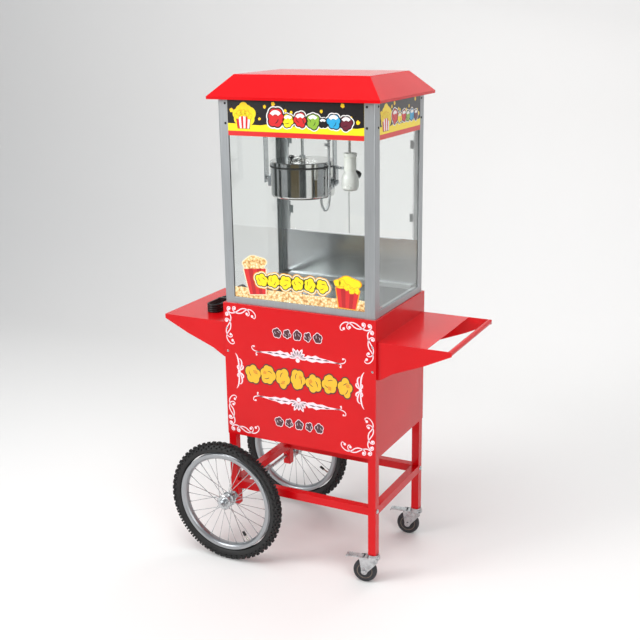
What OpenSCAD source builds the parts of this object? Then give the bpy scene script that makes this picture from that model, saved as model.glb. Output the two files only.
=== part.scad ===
// Popcorn cart: a wheeled cabinet on a square-tube frame, with a glazed popcorn case on top.
// X runs to the right along the front, the front faces -Y, Z is up and the floor is z = 0.

/* [Cart] */
// Width of the cabinet
cab_w = 512; // [480:1:560]
// Depth of the cabinet
cab_d = 376; // [368:1:400]
// Height of the cabinet's underside above the floor
cab_bottom = 415; // [380:1:440]
// Height of the cabinet's top above the floor
cab_top = 845; // [830:1:880]
// Thickness of the sheet steel
sheet = 1.5; // [1:0.1:2]
// Outer side of the square frame tube
tube = 25; // [22:1:28]
// Wall of the square frame tube
tube_wall = 1.5; // [1.2:0.1:2]
// Height of the lower rails' underside
rail_bottom = 229; // [220:1:260]
// Foot of the two legs that carry the axle
axle_leg_foot = 169; // [160:1:180]

/* [Shelves] */
// Height of the side shelves
shelf_z = 779; // [770:1:800]
// How far a side shelf stands out
shelf_out = 226; // [200:1:240]
// Depth of a side shelf, front to back
shelf_d = 356; // [340:1:364]
// Height of a shelf's side bracket at the cabinet
bracket_h = 116; // [100:1:130]
// Diameter of the towing handle on the right shelf
handle_d = 16; // [14:1:18]
// Width of the hand slot beside the handle
slot_w = 58; // [50:1:70]

/* [Wheels] */
// Outer diameter of a spoked wheel's tyre
wheel_d = 400; // [396:1:404]
// Width of the tyre
tyre_w = 41; // [38:1:44]
// Outer diameter of the rim
rim_d = 326; // [322:1:330]
// Middle of each wheel, from the cart's middle
wheel_y = 236; // [234:1:244]
// Diameter of the axle
axle_d = 12; // [10:0.5:12]
// Number of spokes in a wheel
spoke_count = 28; // [20:4:36]
// Diameter of a castor's wheel
castor_d = 75; // [70:1:76]
// How far a castor's wheel trails behind its pin
castor_trail = 26; // [22:1:28]
// Angle at which the castors stand
castor_turn = 8; // [0:1:30]

/* [Case] */
// Width of the glazed case
case_w = 500; // [480:1:506]
// Depth of the glazed case
case_d = 362; // [350:1:370]
// Face width of a corner post
post = 32; // [28:1:36]
// Height of the case's bottom channel
channel_h = 20; // [16:1:24]
// Height of the case's ceiling
ceiling_z = 1352; // [1340:1:1360]
// Height of the top of the corner posts
post_top = 1461; // [1450:1:1470]
// Thickness of the panes and doors
pane = 4; // [3:0.5:4]
// Height of the steel sill across the back
sill_h = 143; // [120:1:150]

/* [Roof] */
// Width over the eaves
eave_w = 551; // [540:1:560]
// Depth over the eaves
eave_d = 407; // [400:1:420]
// Width of the flat top
roof_top_w = 434; // [400:1:450]
// Depth of the flat top
roof_top_d = 280; // [250:1:300]
// Height of the flat top above the floor
roof_top_z = 1524; // [1515:1:1540]

/* [Kettle] */
// Outer radius of the kettle
kettle_r = 97; // [90:1:98]
// Height of the kettle's underside
kettle_z = 1157; // [1150:1:1165]
// Height of the kettle's drum
kettle_h = 94; // [88:1:96]
// Height of the pins that the kettle tips on
pivot_z = 1205; // [1200:1:1210]

/* [Mains lead] */
// Diameter of the mains lead
lead_d = 7; // [6:0.5:8]
// Straight length of a run in the hank
hank_run = 120; // [105:1:140]

/* [Hidden] */
$fn = 64;

gap = 0.3;
fit = 0.1;
red = "#e3242b";
steel = "#c3c8cb";
zinc = "#b9b7ab";
black = "#1b1b1c";

// Frame
leg_x = cab_w / 2 - sheet - tube / 2;
leg_y = cab_d / 2 - sheet - tube / 2;
leg_top = cab_top - sheet;
castor_leg_foot = castor_d + 22;
axle_x = -leg_x - 3;
axle_z = wheel_d / 2;

// Shelves
shelf_x = cab_w / 2;
bracket_tip = 14;

// Wheels
hub_half = 25.5;
hub_y = wheel_y - 3;
hub_flange_r = 24;
tyre_r = tyre_w / 2;
tyre_mid_r = wheel_d / 2 - tyre_r;
rim_r = rim_d / 2;
rim_half = 13.5;
rim_inner_r = rim_r - 17;

// Castors
castor_r = castor_d / 2;
castor_half = 11;
fork_plate = 2.5;
fork_half = castor_half + 2;
pedal_x = -36;
pedal_z = 81;

// Case
post_wall = 3;
case_in_x = case_w / 2 - post_wall;
case_in_y = case_d / 2 - post_wall;
tray_z = cab_top;
tray_top = tray_z + channel_h;
door_gap = 1;
door_y = case_d / 2 - 0.5;
door_bottom = tray_top + sill_h + 4;
door_top = ceiling_z - 2;
case_hinge_x = case_w / 2 - post;
case_hinge_z = [1076, 1302];
cabinet_hinge_x = cab_w / 2 - tube - 2;
cabinet_hinge_z = [500, 760];

// Kettle
kettle_x = -70;
kettle_top = kettle_z + kettle_h;
lid_z = kettle_top + 2;
lid_h = 12;
lid_r = kettle_r + 1.5;
flap_x = -12.5;
hinge_up = 3;
hanger_left = -127;
hanger_right = 109;
lamp_x = 132;
lamp_y = -90;

// Switches on the hood's back
switch_x = [60, 100, 140];
switch_z = 1405;
switch_rest = 8;

// Mains lead: the hank lies on the left shelf, and the lead comes to it round the cabinet's corner.
hank_x = -352;
hank_y = -27;
hank_bend = 3 * lead_d;
hank_turns = 4;
hank_h = hank_turns * lead_d;
gland_x = -234;
gland_z = 880;
lead_route = [[-234, 212, 880], [-234, 226, 879], [-237, 244, 873], [-247, 258, 861],
    [-263, 266, 845], [-283, 266, 826], [-303, 257, 808], [-319, 240, 794], [-328, 218, 786],
    [-331, 195, 783], [-331, 170, 782.5], [-331, 140, 782.5], [-331, 110, 782.5],
    [-331, 80, 782.5], [-331, 60, 782.5], [-331, 42, 782.5]];
plug_x = -375;
plug_z = shelf_z + 19;

// The wire conduit from the ceiling to the kettle hangs in a loop below it.
conduit_d = 8;
conduit_top = [35, -30, 1190];
conduit_route = [[35, -30, 1189.5], [35.5, -31, 1172], [35, -32, 1154], [32.5, -33, 1138],
    [27, -33, 1126], [20, -33, 1123], [13.5, -33, 1130], [9.5, -32, 1140], [8, -31, 1149],
    [8, -31, kettle_z]];

// ---------------------------------------------------------------- shared shapes

// A square tube standing on z = 0.
module square_tube(length) {
    difference() {
        translate([-tube / 2, -tube / 2, 0]) cube([tube, tube, length]);
        translate([-tube / 2 + tube_wall, -tube / 2 + tube_wall, -1])
            cube([tube - 2 * tube_wall, tube - 2 * tube_wall, length + 2]);
    }
}

// A box given by its two opposite corners.
module box(low, high) {
    translate(low) cube(high - low);
}

// A straight round rod between two points.
module rod(from, to, diameter) {
    way = to - from;
    length = norm(way);
    translate(from) rotate([0, acos(way[2] / length), atan2(way[1], way[0])])
        cylinder(d = diameter, h = length, $fn = 24);
}

// Ring of points round one point of a route, square to the route there.
function along(route, i) =
    let (before = route[max(i - 1, 0)], after = route[min(i + 1, len(route) - 1)])
    (after - before) / norm(after - before);
function side(way) = let (s = cross(way, abs(way[2]) < 0.9 ? [0, 0, 1] : [0, 1, 0])) s / norm(s);
function ring(route, i, radius, sides) =
    let (way = along(route, i), right = side(way), up = cross(right, way))
    [for (k = [0:sides - 1])
        route[i] + radius * (cos(360 * k / sides) * right + sin(360 * k / sides) * up)];

// A tube swept along a route, closed at both ends.
module swept_tube(route, diameter, sides) {
    last = len(route) - 1;
    points = [for (i = [0:last]) each ring(route, i, diameter / 2, sides)];
    walls = [for (i = [0:last - 1], k = [0:sides - 1])
        let (a = i * sides + k, b = i * sides + (k + 1) % sides)
        each [[a, b, b + sides], [a, b + sides, a + sides]]];
    start = [[for (k = [sides - 1:-1:0]) k]];
    end = [[for (k = [0:sides - 1]) last * sides + k]];
    polyhedron(points, concat(start, walls, end));
}

// Places its children at the four corners of the case or cabinet, mirrored into each.
module four_corners() {
    for (mx = [0, 1], my = [0, 1]) mirror([mx, 0, 0]) mirror([0, my, 0]) children();
}

// ---------------------------------------------------------------- frame

module legs_left() {
    color(red) for (s = [-1, 1]) difference() {
        translate([-leg_x, s * leg_y, axle_leg_foot]) square_tube(leg_top - axle_leg_foot);
        translate([axle_x, s * leg_y, axle_z]) rotate([90, 0, 0])
            cylinder(d = axle_d + fit, h = 2 * tube, center = true);
    }
}

module legs_right() {
    color(red) for (s = [-1, 1])
        translate([leg_x, s * leg_y, castor_leg_foot]) square_tube(leg_top - castor_leg_foot);
}

module lower_rails() {
    long = 2 * leg_x - tube;
    short = 2 * leg_y - tube;
    color(red) translate([0, 0, rail_bottom + tube / 2]) {
        for (s = [-1, 1]) {
            translate([-long / 2, s * leg_y, 0]) rotate([0, 90, 0]) square_tube(long);
            translate([s * leg_x, short / 2, 0]) rotate([90, 0, 0]) square_tube(short);
        }
    }
}

// Dome-headed bolts through the legs, the sleeves that keep the wheels off the legs, and the nuts.
module frame_fasteners() {
    color(zinc) {
        for (sx = [-1, 1], sy = [-1, 1])
            translate([sx * (leg_x + tube / 2), sy * leg_y, rail_bottom + tube / 2])
                rotate([0, sx * 90, 0]) bolt_head();
        for (s = [-1, 1]) {
            translate([axle_x, s * (leg_y + tube / 2), axle_z]) rotate([-s * 90, 0, 0])
                axle_sleeve(hub_y - hub_half - leg_y - tube / 2 - gap);
            translate([axle_x, s * (hub_y + hub_half + gap), axle_z]) rotate([-s * 90, 0, 0])
                axle_nut();
        }
    }
}

module bolt_head() {
    cylinder(d = 14, h = 1.2);
    intersection() {
        translate([0, 0, -1.5]) sphere(d = 13);
        translate([-8, -8, 1.2]) cube([16, 16, 8]);
    }
}

module axle_sleeve(length) {
    difference() {
        union() {
            cylinder(d = 28, h = 2);
            cylinder(d = 18, h = length);
        }
        translate([0, 0, -1]) cylinder(d = axle_d + fit, h = length + 2);
    }
}

module axle_nut() {
    difference() {
        union() {
            cylinder(d = 22, h = 1.6);
            translate([0, 0, 1.6]) cylinder(d = 20, h = 8, $fn = 6);
        }
        translate([0, 0, -1]) cylinder(d = axle_d + fit, h = 12);
    }
}

module wheel_axle() {
    half = hub_y + hub_half + gap + 13;
    color(zinc) translate([axle_x, half, axle_z]) rotate([90, 0, 0]) cylinder(d = axle_d, h = 2 * half);
}

// ---------------------------------------------------------------- cabinet

module cabinet_front() {
    y = -cab_d / 2;
    lip = leg_x - tube / 2 - gap;
    color(red) {
        box([-cab_w / 2, y, cab_bottom], [cab_w / 2, y + sheet, leg_top]);
        box([-lip, y + sheet, cab_bottom], [lip, y + 16, cab_bottom + sheet]);
    }
}

module cabinet_sides() {
    lip = leg_y - tube / 2 - gap;
    color(red) for (s = [0, 1]) mirror([s, 0, 0]) {
        box([cab_w / 2 - sheet, sheet - cab_d / 2, cab_bottom], [cab_w / 2, cab_d / 2, leg_top]);
        box([cab_w / 2 - sheet - tube, cab_d / 2 - sheet, cab_bottom],
            [cab_w / 2 - sheet, cab_d / 2, leg_top]);
        box([cab_w / 2 - 16, -lip, cab_bottom], [cab_w / 2 - sheet, lip, cab_bottom + sheet]);
    }
}

module cabinet_floor() {
    x = cab_w / 2 - sheet;
    y = cab_d / 2 - sheet;
    notch = tube + gap;
    color(red) difference() {
        box([-x, -y, cab_bottom + sheet], [x, y, cab_bottom + 2 * sheet]);
        four_corners() box([x - notch, y - notch, cab_bottom], [x + 1, y + 1, cab_bottom + 9]);
    }
}

module cabinet_top() {
    color(red) box([-cab_w / 2, -cab_d / 2, leg_top], [cab_w / 2, cab_d / 2, cab_top]);
}

// Folded tray door across the back, hung on the right.
module cabinet_door() {
    half = cab_w / 2 - tube - sheet - 4;
    low = cab_bottom + 8;
    high = leg_top - 6;
    y = cab_d / 2;
    color(red) difference() {
        box([-half, y - 14, low], [half, y, high]);
        box([-half + sheet, y - 15, low + sheet], [half - sheet, y - sheet, high - sheet]);
    }
    color(steel) for (z = cabinet_hinge_z)
        translate([cabinet_hinge_x, y, z]) mirror([1, 0, 0]) moving_leaf(8, 0, 24);
    color(black) translate([-half + 28, y, (low + high) / 2]) rotate([-90, 0, 0]) {
        cylinder(d = 10, h = 10);
        translate([0, 0, 10]) cylinder(d = 26, h = 12);
    }
}

// ---------------------------------------------------------------- hinges

// The leaf on the door: it reaches toward +X and carries the middle knuckle.
module moving_leaf(knuckle_d, rise, reach) {
    third = 8.2;
    difference() {
        union() {
            translate([0, knuckle_d / 2, -third]) cylinder(d = knuckle_d, h = 2 * third);
            box([0, rise, -third], [reach, rise + sheet, third]);
            box([knuckle_d / 2 + 0.8, rise, -13], [reach, rise + sheet, 13]);
            box([0, rise, -third], [knuckle_d / 2, knuckle_d / 2, third]);
        }
        translate([0, knuckle_d / 2, -third - 1])
            cylinder(d = knuckle_d / 2 + fit, h = 2 * third + 2);
    }
}

// The leaf on the frame: it reaches toward -X and carries the outer knuckles and the pin.
module fixed_leaf(knuckle_d, reach) {
    for (z = [-25, 8.5]) {
        translate([0, knuckle_d / 2, z]) cylinder(d = knuckle_d, h = 16.5);
        box([-reach, 0, z], [0, sheet, z + 16.5]);
        box([-knuckle_d / 2, 0, z], [0, knuckle_d / 2, z + 16.5]);
    }
    translate([0, knuckle_d / 2, -25]) cylinder(d = knuckle_d / 2, h = 50);
}

module hinge_pins() {
    color(steel) {
        for (s = [0, 1], z = case_hinge_z) mirror([s, 0, 0])
            translate([-case_hinge_x, case_d / 2, z]) fixed_leaf(6, 18);
        for (z = cabinet_hinge_z)
            translate([cabinet_hinge_x, cab_d / 2, z]) mirror([1, 0, 0]) fixed_leaf(8, 20);
    }
}

// ---------------------------------------------------------------- side shelves

// A folded shelf that stands out toward +X, with a side bracket at each end.
module shelf_sheet(top_end) {
    y = shelf_d / 2;
    x = shelf_x;
    box([x, -y, shelf_z - sheet], [x + top_end, y, shelf_z]);
    box([x, -y, shelf_z - bracket_h], [x + sheet, y, shelf_z]);
    for (s = [-1, 1]) translate([x, s * (y - sheet / 2) + sheet / 2, shelf_z]) rotate([90, 0, 0])
        linear_extrude(sheet) polygon([[0, 0], [0, -bracket_h], [12, 4 - bracket_h], [50, -89],
            [143, -53], [shelf_out - 13, -20], [shelf_out, -bracket_tip], [shelf_out, 0]]);
}

module shelf_left() {
    color(red) mirror([1, 0, 0]) {
        shelf_sheet(shelf_out);
        box([shelf_x + shelf_out - sheet, -shelf_d / 2, shelf_z - bracket_tip],
            [shelf_x + shelf_out, shelf_d / 2, shelf_z]);
    }
}

module shelf_right() {
    color(red) shelf_sheet(shelf_out - handle_d - slot_w);
}

module shelf_handle() {
    half = shelf_d / 2 - sheet;
    color(red) translate([shelf_x + shelf_out - handle_d / 2, half, shelf_z - handle_d / 2])
        rotate([90, 0, 0]) difference() {
            cylinder(d = handle_d, h = 2 * half);
            translate([0, 0, -1]) cylinder(d = handle_d - 3, h = 2 * half + 2);
        }
}

// ---------------------------------------------------------------- spoked wheels

// Everything on a wheel is drawn round Z, with the wheel's middle at z = 0.
module place_wheel(s) {
    translate([axle_x, s * wheel_y, axle_z]) rotate([-s * 90, 0, 0]) children();
}

module tyre() {
    color(black) rotate_extrude($fn = 128) difference() {
        translate([tyre_mid_r, 0]) circle(tyre_r);
        translate([tyre_mid_r, 0]) circle(tyre_r - 3.5);
        translate([0, -rim_half - gap]) square([rim_r + gap, 2 * rim_half + 2 * gap]);
    }
}

module rim() {
    r = rim_inner_r;
    color(steel) rotate_extrude($fn = 128) polygon([[r, -6], [r + 6, -rim_half], [rim_r, -rim_half],
        [rim_r, 2 - rim_half], [r + 8, 3 - rim_half], [r + 3, -5], [r + 3, 5],
        [r + 8, rim_half - 3], [rim_r, rim_half - 2], [rim_r, rim_half], [r + 6, rim_half],
        [r, 6]]);
}

// Spokes leave the two hub flanges by turns and lean forward or back.
module spokes() {
    color(steel) for (i = [0:spoke_count - 1]) {
        turn = 360 * i / spoke_count;
        lean = (i % 4 < 2) ? 26 : -26;
        level = ((i % 2 == 0) ? 14 : -20) + lean / 11;
        rod([(hub_flange_r - 3) * cos(turn + lean), (hub_flange_r - 3) * sin(turn + lean), level],
            [rim_inner_r * cos(turn), rim_inner_r * sin(turn), 0], 2.4);
    }
}

module hub() {
    color(zinc) translate([0, 0, hub_y - wheel_y]) difference() {
        union() {
            cylinder(d = 27, h = 2 * hub_half, center = true);
            for (z = [-18.5, 15.5]) translate([0, 0, z]) cylinder(r = hub_flange_r, h = 3);
        }
        cylinder(d = axle_d + fit, h = 3 * hub_half, center = true);
    }
}

module wheel_front_tyre() { place_wheel(-1) tyre(); }
module wheel_front_rim() { place_wheel(-1) rim(); }
module wheel_front_spokes() { place_wheel(-1) spokes(); }
module wheel_front_hub() { place_wheel(-1) hub(); }
module wheel_rear_tyre() { place_wheel(1) tyre(); }
module wheel_rear_rim() { place_wheel(1) rim(); }
module wheel_rear_spokes() { place_wheel(1) spokes(); }
module wheel_rear_hub() { place_wheel(1) hub(); }

// ---------------------------------------------------------------- castors

// A castor's moving pieces are drawn round its pin, with the wheel toward -X.
module place_castor(s) {
    translate([leg_x, s * leg_y, 0]) rotate([0, 0, castor_turn]) children();
}

module castor_heads() {
    core = tube - 2 * tube_wall - fit;
    color(zinc) for (s = [-1, 1]) translate([leg_x, s * leg_y, 0]) {
        translate([-core / 2, -core / 2, castor_leg_foot]) cube([core, core, 22]);
        translate([0, 0, castor_leg_foot - 5]) cylinder(d = 36, h = 5);
        translate([0, 0, castor_leg_foot - 15]) cylinder(d = 10, h = 12);
        translate([0, 0, castor_leg_foot - 18]) cylinder(d = 15, h = 3);
    }
}

module castor_fork() {
    color(zinc) {
        difference() {
            union() {
                translate([0, 0, 82.6]) cylinder(d = 38, h = 9);
                box([-27, -fork_half - fork_plate, 82.6], [17, fork_half + fork_plate, 85.6]);
            }
            translate([0, 0, 80]) cylinder(d = 10 + fit, h = 20);
        }
        for (s = [-1, 1]) translate([0, s * (fork_half + fork_plate / 2) + fork_plate / 2, 0])
            rotate([90, 0, 0]) linear_extrude(fork_plate) difference() {
                union() {
                    polygon([[17, 83], [17, 74], [-castor_trail + 9, castor_r - 2],
                        [-castor_trail - 9, castor_r + 2], [-41, 78], [-41, 85], [-27, 85.6]]);
                    translate([-castor_trail, castor_r]) circle(10);
                }
                translate([-castor_trail, castor_r]) circle(4);
                translate([pedal_x, pedal_z]) circle(2);
            }
        translate([pedal_x, 16, pedal_z]) rotate([90, 0, 0]) cylinder(d = 4, h = 32);
        translate([-castor_trail, 19, castor_r]) rotate([90, 0, 0]) cylinder(d = 8, h = 38);
        for (s = [-1, 1]) translate([-castor_trail, s * 15.5, castor_r]) rotate([-s * 90, 0, 0])
            cylinder(d = 13, h = 3.5);
    }
}

module castor_wheel() {
    color(black) translate([-castor_trail, 0, castor_r]) rotate([90, 0, 0])
        rotate_extrude($fn = 96) polygon([[4.05, -12.5], [9, -12.5], [9, -9], [21, -7], [23, -9],
            [30, -11], [35, -9], [castor_r, -5], [castor_r, 5], [35, 9], [30, 11], [23, 9],
            [21, 7], [9, 9], [9, 12.5], [4.05, 12.5]]);
}

module castor_brake() {
    color(zinc) difference() {
        union() {
            translate([pedal_x, 12.5, pedal_z]) rotate([90, 0, 0]) cylinder(d = 8, h = 25);
            box([-86, -11, pedal_z + 1], [pedal_x, 11, pedal_z + 4]);
            box([-86, -11, pedal_z - 3], [-83.5, 11, pedal_z + 1]);
        }
        translate([pedal_x, 20, pedal_z]) rotate([90, 0, 0]) cylinder(d = 4 + fit, h = 40);
    }
}

module castor_front_fork() { place_castor(-1) castor_fork(); }
module castor_front_wheel() { place_castor(-1) castor_wheel(); }
module castor_front_brake() { place_castor(-1) castor_brake(); }
module castor_rear_fork() { place_castor(1) castor_fork(); }
module castor_rear_wheel() { place_castor(1) castor_wheel(); }
module castor_rear_brake() { place_castor(1) castor_brake(); }

// ---------------------------------------------------------------- popcorn case

// Bottom channels between the posts and the floor that they carry.
module base_tray() {
    x = case_w / 2;
    y = case_d / 2;
    depth = 20;
    color(steel) {
        for (s = [0, 1]) {
            mirror([0, s, 0]) box([post - x, -y, tray_z], [x - post, depth - y, tray_top]);
            mirror([s, 0, 0]) box([x - depth, post - y, tray_z], [x, y - post, tray_top]);
        }
        box([depth - x, depth - y, tray_z + 5], [x - depth, y - depth, tray_z + 5 + sheet]);
    }
}

// Angle posts with a rounded outer corner.
module corner_posts() {
    color(steel) four_corners() translate([case_w / 2 - post, case_d / 2 - post, tray_z])
        linear_extrude(post_top - tray_z) difference() {
            union() {
                square([post, post - 5]);
                square([post - 5, post]);
                translate([post - 5, post - 5]) circle(5);
            }
            translate([-1, -1]) square([post - post_wall + 1, post - post_wall + 1]);
        }
}

module glass_front() {
    x = case_in_x - pane - 1;
    color("#dfeaec", 0.3) box([-x, -case_in_y, tray_top], [x, pane - case_in_y, ceiling_z]);
}

module glass_sides() {
    y = case_in_y - pane - 0.5;
    color("#dfeaec", 0.3) for (s = [0, 1]) mirror([s, 0, 0])
        box([case_in_x - pane, -y, tray_top], [case_in_x, y, ceiling_z]);
}

// Printed panels between the posts, over the hood's front and sides.
module banner_panels() {
    x = case_w / 2 - post - 0.2;
    y = case_d / 2 - post - 0.2;
    color("#ffe81a") {
        box([-x, -case_d / 2, ceiling_z], [x, -case_in_y, post_top]);
        for (s = [0, 1]) mirror([s, 0, 0])
            box([case_in_x, -y, ceiling_z], [case_w / 2, y, post_top]);
    }
}

// The open-topped sheet box over the case: its floor is the case's ceiling.
module hood() {
    x = case_in_x;
    y = case_in_y;
    color(steel) difference() {
        union() {
            box([-x, -y, ceiling_z], [x, y, post_top]);
            box([post + 0.2 - case_w / 2, y, ceiling_z], [case_w / 2 - post - 0.2, case_d / 2, post_top]);
        }
        box([sheet - x, sheet - y, ceiling_z + sheet], [x - sheet, y - sheet, post_top + 1]);
        translate([kettle_x, 0, ceiling_z - 1]) cylinder(d = 24, h = 4);
        for (sx = switch_x) box([sx - 11, y - 9, switch_z - 14], [sx + 11, y + 9, switch_z + 14]);
    }
}

// Hipped roof with a flat top, an upright edge and a plate underneath.
module roof() {
    edge = 8;
    low = post_top - 5;
    rise = roof_top_z - low - edge;
    color(red) {
        difference() {
            box([-eave_w / 2, -eave_d / 2, low], [eave_w / 2, eave_d / 2, low + edge]);
            box([sheet - eave_w / 2, sheet - eave_d / 2, low - 1],
                [eave_w / 2 - sheet, eave_d / 2 - sheet, low + edge + 1]);
        }
        box([1 - eave_w / 2, 1 - eave_d / 2, post_top],
            [eave_w / 2 - 1, eave_d / 2 - 1, post_top + sheet]);
        translate([0, 0, low + edge]) difference() {
            hip(eave_w, eave_d, roof_top_w, roof_top_d, rise);
            translate([0, 0, -0.01])
                hip(eave_w - 4, eave_d - 4, roof_top_w - 4, roof_top_d - 4, rise - sheet);
        }
    }
}

// A hipped block: two trapezium prisms crossed.
module hip(w, d, top_w, top_d, rise) {
    intersection() {
        translate([0, d / 2, 0]) rotate([90, 0, 0]) linear_extrude(d)
            polygon([[-w / 2, 0], [w / 2, 0], [top_w / 2, rise], [-top_w / 2, rise]]);
        translate([-w / 2, 0, 0]) rotate([90, 0, 90]) linear_extrude(w)
            polygon([[-d / 2, 0], [d / 2, 0], [top_d / 2, rise], [-top_d / 2, rise]]);
    }
}

// Polished sheet below the doors, its top edge folded inward.
module rear_sill() {
    x = case_in_x - pane - 1;
    top = tray_top + sill_h;
    lip = x - 65;
    color(steel) {
        box([-x, case_in_y - sheet, tray_top], [x, case_in_y, top]);
        box([-lip, case_in_y - 14, top - sheet], [lip, case_in_y - sheet, top]);
    }
}

// Clear doors that meet in the middle and open outward.
module case_door() {
    color("#dfeaec", 0.3)
        box([-case_hinge_x + 2.5, door_y - pane, door_bottom], [-door_gap, door_y, door_top]);
    color(steel) for (z = case_hinge_z)
        translate([-case_hinge_x, case_d / 2, z]) moving_leaf(6, -0.5, 14);
}

module door_left() { case_door(); }
module door_right() { mirror([1, 0, 0]) case_door(); }

// ---------------------------------------------------------------- kettle

module kettle_hangers() {
    color(steel) for (s = [-1, 1]) {
        inner = (s < 0) ? hanger_left : hanger_right;
        translate([kettle_x + inner, 0, 0]) difference() {
            union() {
                box([-1.5, -12, pivot_z - 14], [1.5, 12, ceiling_z]);
                box([s > 0 ? -1.5 : -16, -12, ceiling_z - 2], [s > 0 ? 16 : 1.5, 12, ceiling_z]);
            }
            translate([-5, 0, pivot_z]) rotate([0, 90, 0]) cylinder(d = 10 + fit, h = 10);
        }
    }
}

// Polished drum with a thick heated bottom and a pin on each side.
module kettle_pan() {
    color(steel) translate([kettle_x, 0, 0]) {
        translate([0, 0, kettle_z]) rotate_extrude($fn = 128) difference() {
            union() {
                square([kettle_r - 6, kettle_h]);
                translate([0, 6]) square([kettle_r, kettle_h - 6]);
                translate([kettle_r - 6, 6]) circle(6);
            }
            translate([-1, 15]) square([kettle_r - sheet + 1, kettle_h]);
        }
        difference() {
            union() {
                box([-kettle_r - 18, -14, pivot_z - 24], [4 - kettle_r, 14, pivot_z + 12]);
                box([kettle_r - 4, -14, pivot_z - 24], [kettle_r + 4, 14, pivot_z + 12]);
                translate([hanger_left - 5, 0, pivot_z]) rotate([0, 90, 0])
                    cylinder(d = 10, h = 30);
                translate([kettle_r - 4, 0, pivot_z]) rotate([0, 90, 0])
                    cylinder(d = 10, h = hanger_right - kettle_r + 12);
            }
            translate([0, 0, kettle_z]) cylinder(r = kettle_r - 1, h = kettle_h);
        }
    }
}

module kettle_band() {
    color(black) translate([kettle_x, 0, kettle_top - 4]) rotate_extrude($fn = 128)
        polygon([[kettle_r, 0], [lid_r + 1, 0], [lid_r + 1, 6], [kettle_r - 7, 6],
            [kettle_r - 7, 4], [kettle_r, 4]]);
}

// Shallow inverted pan with a raised edge, the shape that both lid pieces are cut from.
module lid_dome() {
    rotate_extrude($fn = 128) polygon([[0, lid_h - sheet], [lid_r - 5, lid_h - sheet],
        [lid_r - 2, lid_h - 3], [lid_r - 2, 0], [lid_r, 0], [lid_r, lid_h - 2],
        [lid_r - 3, lid_h], [0, lid_h]]);
}

module lid_fixed() {
    color(steel) translate([kettle_x, 0, lid_z]) {
        difference() {
            union() {
                intersection() {
                    lid_dome();
                    box([flap_x + gap, -lid_r, -1], [lid_r, lid_r, lid_h + 1]);
                }
                translate([0, 0, lid_h - sheet]) cylinder(d = 20, h = 6);
            }
            translate([0, 0, -1]) cylinder(d = 9 + fit, h = 20);
        }
        for (s = [0, 1]) mirror([0, s, 0]) {
            translate([flap_x, 41, lid_h + hinge_up]) rotate([90, 0, 0]) cylinder(d = 6, h = 10);
            box([flap_x, 31, lid_h - 0.2], [flap_x + 8, 41, lid_h + 1.3]);
            box([flap_x, 31, lid_h + 1], [flap_x + 3, 41, lid_h + hinge_up]);
        }
        translate([flap_x, 41, lid_h + hinge_up]) rotate([90, 0, 0]) cylinder(d = 3, h = 82);
    }
}

// The half that lifts, with its knob.
module lid_flap() {
    translate([kettle_x, 0, lid_z]) {
        color(steel) difference() {
            union() {
                intersection() {
                    lid_dome();
                    box([-lid_r, -lid_r, -1], [flap_x - gap, lid_r, lid_h + 1]);
                }
                for (s = [0, 1]) mirror([0, s, 0]) {
                    translate([flap_x, 30.7, lid_h + hinge_up]) rotate([90, 0, 0])
                        cylinder(d = 6, h = 18);
                    box([flap_x - 9, 12.7, lid_h - 0.2], [flap_x - gap, 30.7, lid_h + 1.3]);
                    box([flap_x - 3, 12.7, lid_h + 1], [flap_x, 30.7, lid_h + hinge_up]);
                }
            }
            translate([flap_x, 60, lid_h + hinge_up]) rotate([90, 0, 0])
                cylinder(d = 3 + fit, h = 120);
        }
        color(black) translate([-34, -6, lid_h]) {
            cylinder(d = 9, h = 5);
            translate([0, 0, 5]) cylinder(d = 16, h = 4);
            translate([0, 0, 9]) intersection() {
                sphere(d = 16);
                translate([-9, -9, 0]) cube([18, 18, 5]);
            }
        }
    }
}

// Upright shaft with two sweeping arms just above the kettle's bottom.
module stirrer() {
    low = kettle_z + 18;
    color(steel) translate([kettle_x, 0, 0]) {
        translate([0, 0, low]) cylinder(d = 9, h = ceiling_z - 10 - low);
        translate([0, 0, low]) cylinder(d = 18, h = 12);
        box([-78, -4, low], [78, 4, low + 3]);
        for (s = [-1, 1]) box([s * 56 - 22, -3, low + 3], [s * 56 + 22, -1, low + 12]);
    }
}

// Gear motor that stands on the ceiling, with its slotted drive cup.
module stirrer_motor() {
    color(steel) translate([kettle_x, 0, 0]) {
        box([-34, -26, ceiling_z + sheet], [34, 26, ceiling_z + 28]);
        translate([0, 0, ceiling_z + 28]) cylinder(d = 54, h = 46);
        translate([0, 0, ceiling_z - 7]) cylinder(d = 16, h = 10);
    }
}

module dump_handle() {
    x = kettle_x + hanger_right + 4;
    color(steel) {
        difference() {
            box([x, -9, pivot_z - 9], [x + 3, 9, pivot_z + 48]);
            translate([x - 1, 0, pivot_z]) rotate([0, 90, 0]) cylinder(d = 10 + fit, h = 6);
        }
        translate([x + 3, 0, pivot_z + 42]) rotate([0, 90, 0]) cylinder(d = 8, h = 30);
    }
}

module handle_grip() {
    color(black) translate([kettle_x + hanger_right + 37, 0, pivot_z + 42]) rotate([0, 115, 0])
        rotate_extrude() polygon([[0, 0], [8, 0], [9, 4], [12, 40], [11, 47], [7, 51], [0, 51]]);
}

module conduit_drop() {
    color("#a9abad") translate(conduit_top)
        cylinder(d = conduit_d, h = ceiling_z - conduit_top[2], $fn = 24);
}

module conduit_loop() {
    color("#a9abad") swept_tube(conduit_route, conduit_d, 10);
}

// ---------------------------------------------------------------- lamp and switches

module lamp_holder() {
    color("white") translate([lamp_x, lamp_y, 0]) {
        translate([0, 0, 1305]) cylinder(d = 5, h = ceiling_z - 1305);
        translate([0, 0, 1294]) cylinder(d = 39, h = 11);
        translate([0, 0, 1255]) cylinder(d = 36, h = 39);
    }
}

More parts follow.
